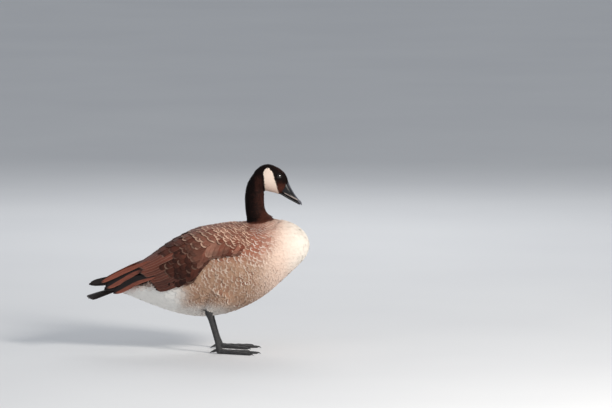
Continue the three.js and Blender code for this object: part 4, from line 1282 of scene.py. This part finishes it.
class GOOSE_OT_wings(bpy.types.Operator):
    """Lay the feathers of back and folded wings: scapulars, coverts, tertials, secondaries, primaries"""

    bl_idname = "goose.wings"
    bl_label = "Wings"

    def execute(self, context):
        goose = context.scene.goose
        draw = np.random.default_rng(goose.coat.seed + 2)
        coverts = covert_material("Goose_coverts", goose.colours)
        secondaries = flight_material("Goose_secondaries", goose.colours, 0.5)
        primaries = flight_material("Goose_primaries", goose.colours, 0.15)
        for side, mirror in (("right", False), ("left", True)):
            self.small(f"Wing_coverts_{side}", coverts, draw, mirror, f"wing_{side}")
            self.long(f"Wing_secondaries_{side}", secondaries, draw, mirror)
            self.primaries(f"Wing_primaries_{side}", primaries, draw, mirror)
        return {"FINISHED"}

    def small(self, name, material, draw, mirror, node):
        """Scapulars and coverts, each row over the roots of the one behind it."""
        rows = [*self.scapulars(draw), *self.drape(draw), *self.rear_coverts(draw)]
        vane = Vane(*COVERT_VANE)
        tone, pale = (np.array([row[k] for row in rows]) for k in (4, 5))
        feathers = (*lie_over(vane, rows, 0.22, 0.035), tone + draw.normal(0, TONE_SPREAD, len(rows)), pale)
        plumage(name, vane, feathers, material, "wing_feathers", (node,), mirror)

    def scapulars(self, draw):
        """Rows that slant forward down the side, so that each feather points back and down."""
        (x, last), tier = SCAPULAR_SPAN, 0
        while x > last:
            slant = blend(6, 74, smooth(-66, 40, x))
            bare = blend(15, 6.2, smooth(-50, 95, x))
            wide = blend(25, 12.5, smooth(-50, 95, x))
            length = bare * 2.5 + 8
            angle = 0.02 + (0.5 if tier % 2 else 0.0) * wide * 0.6 / 95
            while angle < 1.1:
                at = x + slant * angle**2 / (angle + 0.35) + draw.normal(0, 0.09 * bare)
                turn = math.atan(slant / 90 * (angle**2 + 0.7 * angle) / (angle + 0.35) ** 2)
                if at < 132 and angle < blend(0.72, 1.05, smooth(62, 112, at)):
                    back = length * draw.uniform(0.88, 1.08)
                    aim = turn + draw.normal(0, 0.09)
                    end = (at - back * math.cos(aim), angle + 0.03 + back * math.sin(aim) / 88)
                    rear = smooth(60, -30, at)
                    band = smooth(0.5, 0.66, angle)
                    yield (
                        (at, angle, sunk_root(at, angle, 2.4)),
                        (*end, raised_tip(*end, draw.uniform(1.0, 1.8))),
                        wide * draw.uniform(0.88, 1.12),
                        draw.normal(0.2, 0.2),
                        0.5 - 1.5 * rear,
                        blend(1.0, 0.15 + 0.5 * band, rear) * draw.uniform(0.75, 1.05),
                    )
                angle += wide * 0.56 / 92 * math.cos(turn)
            x -= bare / math.cos(math.atan(slant * 0.85 / 90))
            tier += 1

    def drape(self, draw):
        """Two rows of large smooth feathers that hang over the folded wing."""
        for low, count in ((1, 12), (0, 11)):
            for share in (np.arange(count) + 0.5 * low) / (count - 0.5):
                x = blend(112, 8, share)
                top = blend(0.56, 0.8, smooth(70, 105, x)) + 0.08 * low
                start = (x, top, sunk_root(x, top, 2) - low)
                end_x = x - blend(24, 36, share)
                angle = wing_shows(end_x) + 0.05 * low - 0.015 + draw.normal(0, 0.02)
                lift = raised_tip(end_x, angle, 1.5 - 0.9 * low + draw.uniform(0, 0.4))
                # The lower row gets a darker tone: painted shade under the row above
                yield start, (end_x, angle, lift), 22.0, 0.5, 0.2 - 1.1 * low, 0.08

    def rear_coverts(self, draw):
        """Darker coverts with thin pale edges over the roots of the flight feathers."""
        for tier, x in enumerate(REAR_TIERS):
            upper, lower = 0.7, wing_shows(x - 38) - 0.05
            count = 7
            for j in range(count + tier % 2):
                angle = blend(upper, lower, (j + (0.0 if tier % 2 else 0.5)) / count) + draw.normal(0, 0.02)
                back = 42 * draw.uniform(0.88, 1.1)
                end = (x - back, angle + 0.04 + 0.05 * (1 - j / count))
                lift = wing_depth(*end) + draw.uniform(1.4, 2.4)
                high = min(angle, wing_shows(x) - 0.12)
                start = (x, high, wing_depth(x, high) - 3)
                yield start, (*end, lift), 20.0, 0.5, -1.6, draw.choice([0.1, 0.25, 0.6])

    def long(self, name, material, draw, mirror):
        """Tertials along the back and secondaries below them."""
        rows = []
        for share in np.linspace(0, 1, 6):
            start = (-30 + 6 * share, math.radians(blend(8, 44, share)), 5)
            end = (-142 + 18 * share, math.radians(blend(15, 50, share)), 11 - share * 2)
            rows.append((start, end, 25, 1.4))
        for share in np.linspace(0, 1, 10):
            start = (-42 + 12 * share, math.radians(blend(50, 92, share)), 1.4)
            end = (-128 + 34 * share, math.radians(blend(58, 108, share)), 10 - share * 6)
            rows.append((start, end, 21, 1.4))
        vane = Vane(np.linspace(0, 1, 16), *LONG_VANE)
        tone = draw.normal(-1.4, 0.8, len(rows))
        feathers = (*lie_over(vane, rows, 0.3, 0.03), tone, np.full(len(rows), 0.85))
        plumage(name, vane, feathers, material, "wing_feathers", mirror=mirror)

    def primaries(self, name, material, draw, mirror):
        """The stiff bundle of the wing's tip."""
        vane = Vane(np.linspace(0, 1, 22), *LONG_VANE)
        up = unit(PRIMARIES_UP)
        made = [leaf_course(vane, np.array(course) + up * k * 1.1, up, width)
                for k, (*course, width, _) in enumerate(PRIMARIES)]
        points, soft = (np.array([one[k] for one in made]) for k in (0, 1))
        roots, marks = (np.array([row[k] for row in PRIMARIES], float) for k in (0, 2))
        brown = np.array([row[-1] for row in PRIMARIES])
        feathers = (points, soft, roots, marks, draw.normal(0, TONE_SPREAD, len(brown)), brown)
        plumage(name, vane, feathers, material, "wing_feathers", mirror=mirror)


class GOOSE_OT_tail(bpy.types.Operator):
    """Lay the fan of tail feathers behind the rump"""

    bl_idname = "goose.tail"
    bl_label = "Tail"

    def execute(self, context):
        goose = context.scene.goose
        draw = np.random.default_rng(goose.coat.seed + 3)
        vane = Vane(np.linspace(0, 1, 18), *LONG_VANE)
        points, soft, roots = [], [], []
        for side in np.linspace(-1, 1, TAIL_COUNT):
            turn = side * TAIL_SPREAD
            length = TAIL_LENGTH * (1 - 0.1 * side * side) * draw.uniform(0.98, 1.01)
            level = -abs(side) * 7 + (0.4 if side > 0 else 0)
            root = TAIL_FROM + [0, side * 7, level * 0.6]
            down = -length * math.tan(TAIL_FALL) + level * 0.4
            tip = root + [-length * math.cos(turn), length * math.sin(turn), down]
            course = [root, blend(root, tip, 0.35) + [0, 0, 1.4], blend(root, tip, 0.7) + [0, 0, 1.2], tip]
            one, normal = leaf_course(vane, course, np.array([0, 0, 1.0]), 21)
            points.append(one)
            soft.append(normal)
            roots.append(root)
        material = flight_material("Goose_tail", goose.colours, 0)
        roots = np.array(roots)
        marks = roots - [50, 0, 12]
        tone = draw.normal(0, TONE_SPREAD, TAIL_COUNT)
        feathers = (np.array(points), np.array(soft), roots, marks, tone, np.zeros(TAIL_COUNT))
        plumage("Tail_feathers", vane, feathers, material, "tail_feathers", ("tail",))
        return {"FINISHED"}


class GOOSE_OT_bill(bpy.types.Operator):
    """Form the bill with its nail, nostrils and the gap between its halves"""

    bl_idname = "goose.bill"
    bl_label = "Bill"

    def execute(self, context):
        material = horn_material("Goose_bill", context.scene.goose.colours)
        upper = oval_rings(BILL_TOP, 70, 72, 1.15, 0.45)
        x, y, z = np.moveaxis(upper, -1, 0)
        side = np.sign(y)
        for centre, size, depth in NOSTRIL:
            run, rise = slanted(x - centre[0], z - centre[1])
            hollow = np.exp(-((run / size[0]) ** 4) - (rise / size[1]) ** 2)
            y = y - side * depth * hollow * (np.abs(y) > 3)
        nail = np.exp(-(((x - 47.5) / 5) ** 4) - (y / 4.4) ** 4) * smooth(-32, -29, z)
        z = z + nail * 0.9
        ribs = 0.22 * np.sin(x * 4.2) * smooth(-27, -29, z) * smooth(46, 40, x) * smooth(2, 6, x)
        upper = np.stack([x, y + side * ribs, z], -1)
        lower = oval_rings(BILL_BOTTOM, 60, 56, 0.5, 0.9)
        for name, rings in (("Bill_upper", upper), ("Bill_lower", lower)):
            piece(name, mesh_of(name, tube(in_head(rings))), material, "bill", name.lower())
        return {"FINISHED"}


class GOOSE_OT_eyes(bpy.types.Operator):
    """Set the eyes and the lids round them"""

    bl_idname = "goose.eyes"
    bl_label = "Eyes"

    def execute(self, context):
        goose = context.scene.goose
        wet = eye_material("Goose_eye")
        rim = lid_material("Goose_lid", goose.colours)
        for name, side in (("right", -1), ("left", 1)):
            facing = eye_facing(side)
            ahead = unit(np.array([1.0, 0, 0]) - facing * facing[0])
            over = np.cross(facing, ahead)
            centre = EYE_PLACE * [1, side, 1]
            angle = round_angles(48)[None, :, None]
            bend = np.linspace(0.001, math.pi - 0.001, 40)[:, None, None]
            flat = facing * EYE_BULGE * np.cos(bend)
            out = flat + (ahead * np.cos(angle) + over * np.sin(angle)) * np.sin(bend)
            mesh = mesh_of(f"Eye_{name}", tube(in_head(centre + facing * EYE_OUT + out * EYE_RADIUS)))
            ring = np.repeat(np.sin(bend[:, 0, 0]) / 0.66, 48)
            write_layer(mesh, "ring", np.append(ring, [0, 1]))
            piece(f"Eye_{name}", mesh, wet, "eye", f"eye_{name}")
            piece(f"Eyelid_{name}", self.lid(name, centre, facing, ahead, over), rim, "head_feathers")
        return {"FINISHED"}

    def lid(self, name, centre, facing, ahead, over):
        """A thin rim, thicker above and below the eye."""
        angle = round_angles(64)[:, None]
        around = round_angles(14)[None]
        wide, high = LID_REACH
        out = np.cos(angle)[..., None] * ahead * wide + np.sin(angle)[..., None] * over * high
        away = unit(out)
        thick = 0.85 + 0.25 * np.abs(np.sin(angle))
        lift = LID_OUT + 0.1 * np.cos(angle)
        line = centre + facing * lift[..., None] + out
        ring = line + away * (thick * np.cos(around))[..., None]
        ring = ring + facing * (thick * 0.8 * np.sin(around))[..., None]
        count, sides = ring.shape[:2]
        i, j = np.meshgrid(np.arange(count), np.arange(sides), indexing="ij")
        nexti, nextj = (i + 1) % count, (j + 1) % sides
        quads = np.stack([i * sides + j, i * sides + nextj, nexti * sides + nextj, nexti * sides + j], -1)
        body = outward(in_head(ring).reshape(-1, 3), quads.reshape(-1, 4), np.zeros((0, 3), int))
        return mesh_of(f"Eyelid_{name}", body)


class GOOSE_OT_legs(bpy.types.Operator):
    """Form the scaly shanks, the webbed feet and the claws"""

    bl_idname = "goose.legs"
    bl_label = "Legs and feet"

    def execute(self, context):
        colours = context.scene.goose.colours
        scaly, horn = leg_material("Goose_leg", colours), horn_material("Goose_claw", colours)
        parts = (("Leg", self.leg, scaly), ("Foot", self.foot, scaly), ("Claws", self.claws, horn))
        for side in ("left", "right"):
            for kind, build, material in parts:
                name = f"{kind}_{side}"
                bodies = [body if side == "left" else flipped(body) for body in build()]
                nodes = () if kind == "Claws" else (name.lower(),)
                piece(name, mesh_of(name, together(bodies)), material, "leg_skin", *nodes)
        return {"FINISHED"}

    def plated(self, rings, axis, low, high, count, depth):
        """A limb with raised plates across the side that faces along an axis."""
        centre = rings.mean(1, keepdims=True)
        out = rings - centre
        facing = smooth(low, high, unit(out)[..., axis])
        v = np.linspace(0, 1, len(rings))[:, None]
        plates = np.abs(np.sin(v * math.pi * count)) ** 0.5
        return tube(centre + out * (1 + facing * (plates - 0.75) * depth)[..., None])

    def run_out(self, start, ahead, stops, sides, steps):
        """A limb that runs out over the floor: stops of reach, height and radius."""
        return tube(limb_rings([(start + ahead * r + [0, 0, h], s) for r, h, s in stops], sides, steps))

    def leg(self):
        """The shank with plates down its front."""
        stops = [(blend(ANKLE, TOE_ROOT, share), radius) for share, radius in SHANK]
        yield self.plated(limb_rings(stops, 40, 150), 0, -0.2, 0.7, 22, 0.09)

    def toe_line(self, length, turn, half):
        """The way a toe points and its stops of place and radius, thicker at every other one."""
        ahead = np.array([math.cos(math.radians(turn)), math.sin(math.radians(turn)), 0])
        stops = [(FOOT_ROOT - ahead * 6 + [0, 0, 6], half * 0.7)]
        joints = 9
        for i in range(joints):
            share = i / (joints - 1)
            knuckle = 1.1 if i % 2 else 0.95
            height = blend(6.5, 2.5, share**0.6)
            radius = blend(half, 2.7, share) * knuckle
            stops.append((FOOT_ROOT + ahead * length * share + [0, 0, height], radius))
        stops.append((FOOT_ROOT + ahead * (length + 2.4) + [0, 0, 2.3], 1.7))
        return ahead, stops

    def foot(self):
        """Front toes, hind toe and web, with nothing below the floor."""
        bodies = []
        for length, turn, half in TOES:
            _, stops = self.toe_line(length, turn, half)
            bodies.append(self.plated(limb_rings(stops, 28, 110), 2, 0.1, 0.8, 26, 0.1))
        bodies.append(self.run_out(FOOT_ROOT, HIND_WAY, HIND_TOE, 20, 30))
        bodies.append(self.web())
        for points, _, _ in bodies:
            points[:, 2] = np.maximum(points[:, 2], FLOOR_GAP)
        return bodies

    def web(self):
        """The skin between the toes, thin, sagging and finely pleated."""
        count, rows = 48, 26
        share = np.linspace(0, 1, count)
        turn = np.interp(share, [0, 0.5, 1], [t for _, t, _ in TOES])
        length = np.interp(share, [0, 0.5, 1], [t for t, _, _ in TOES]) * 0.95
        scoop = 13 * np.sin(math.pi * (share * 2 % 1)) ** 0.8
        reach = np.linspace(0.02, 1, rows)[:, None] * (length - scoop)[None]
        angle = np.radians(turn)[None]
        x = FOOT_ROOT[0] - 2 + reach * np.cos(angle)
        y = FOOT_ROOT[1] + reach * np.sin(angle)
        between = np.sin(math.pi * (share * 2 % 1))[None]
        pleats = 0.28 * np.sin(share * 80)[None] * between
        thick = blend(1.15, 0.7, reach / 80)
        middle = 1.5 + 1.2 * (1 - reach / 80) + pleats - 0.5 * between
        top = np.stack([x, y, middle + thick], -1)
        bottom = np.stack([x, y, np.maximum(middle - thick, 0.05)], -1)
        rings = np.concatenate([top, bottom[:, ::-1]], 1)
        return tube(rings)

    def claws(self):
        bodies = []
        for length, turn, half in TOES:
            ahead, _ = self.toe_line(length, turn, half)
            claw = [(length + reach, height, radius) for reach, height, radius in CLAW]
            bodies.append(self.run_out(FOOT_ROOT, ahead, claw, 18, 30))
        bodies.append(self.run_out(FOOT_ROOT, HIND_WAY, HIND_CLAW, 16, 24))
        return bodies


class GOOSE_OT_stage(bpy.types.Operator):
    """Set the pale floor, the soft studio light and the camera"""

    bl_idname = "goose.stage"
    bl_label = "Stage"

    def execute(self, context):
        scene = context.scene
        corners = np.array([[-1, -1, 0], [1, -1, 0], [1, 1, 0], [-1, 1, 0]]) * FLOOR_SIZE / MM
        mesh = mesh_of("Floor", (corners - SHIFT, np.array([[0, 1, 2, 3]]), np.zeros((0, 3), int)))
        floor = added("Floor", mesh)
        mesh.materials.append(floor_material("Stage_floor", scene.goose.colours))
        for light in LIGHTS:
            self.light(*light)
        scene.view_settings.view_transform = "Standard"
        world = bpy.data.worlds.new("Studio")
        world.use_nodes = True
        sky = world.node_tree.nodes["Background"].inputs
        sky["Color"].default_value = SKY
        sky["Strength"].default_value = SKY_STRENGTH
        scene.world = world
        self.camera(scene)
        return {"FINISHED"}

    def light(self, name, place, size, power, colour):
        lamp = bpy.data.lights.new(name, "AREA")
        lamp.size = size
        lamp.energy = power
        lamp.color = colour
        made = added(name, lamp)
        made.location = place
        made.rotation_euler = (LIT_PLACE - Vector(place)).to_track_quat("-Z", "Y").to_euler()

    def camera(self, scene):
        lens = bpy.data.cameras.new("Camera")
        lens.lens = CAMERA_LENS
        lens.sensor_width = 36
        lens.clip_end = 200
        made = added("Camera", lens)
        away = Vector((0, -math.cos(CAMERA_RAISED), math.sin(CAMERA_RAISED)))
        made.location = CAMERA_TARGET + away * CAMERA_AWAY
        made.rotation_euler = (CAMERA_TARGET - made.location).to_track_quat("-Z", "Y").to_euler()
        scene.camera = made


class GOOSE_PT_build(bpy.types.Panel):
    """The goose's pieces and sizes"""

    bl_idname = "GOOSE_PT_build"
    bl_label = "Goose"
    bl_space_type = "VIEW_3D"
    bl_region_type = "UI"
    bl_category = "Goose"

    def draw(self, context):
        goose = context.scene.goose
        for group in (goose.coat, goose.colours):
            box = self.layout.box()
            for key in type(group).__annotations__:
                box.prop(group, key)
        for step in STEPS:
            self.layout.operator(step.bl_idname)


STEPS = (
    GOOSE_OT_skin, GOOSE_OT_head_coat, GOOSE_OT_body_coat, GOOSE_OT_wings, GOOSE_OT_tail, GOOSE_OT_bill,
    GOOSE_OT_eyes, GOOSE_OT_legs, GOOSE_OT_stage,
)
CLASSES = (GooseCoat, GooseColours, GooseSettings, *STEPS, GOOSE_PT_build)


def register():
    for kind in CLASSES:
        bpy.utils.register_class(kind)
    bpy.types.Scene.goose = PointerProperty(type=GooseSettings)


def unregister():
    del bpy.types.Scene.goose
    for kind in reversed(CLASSES):
        bpy.utils.unregister_class(kind)


def main():
    register()
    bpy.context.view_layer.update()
    bpy.ops.goose.skin()
    bpy.ops.goose.head_coat()
    bpy.ops.goose.body_coat()
    bpy.ops.goose.wings()
    bpy.ops.goose.tail()
    bpy.ops.goose.bill()
    bpy.ops.goose.eyes()
    bpy.ops.goose.legs()
    bpy.ops.goose.stage()


if __name__ == "__main__":
    main()
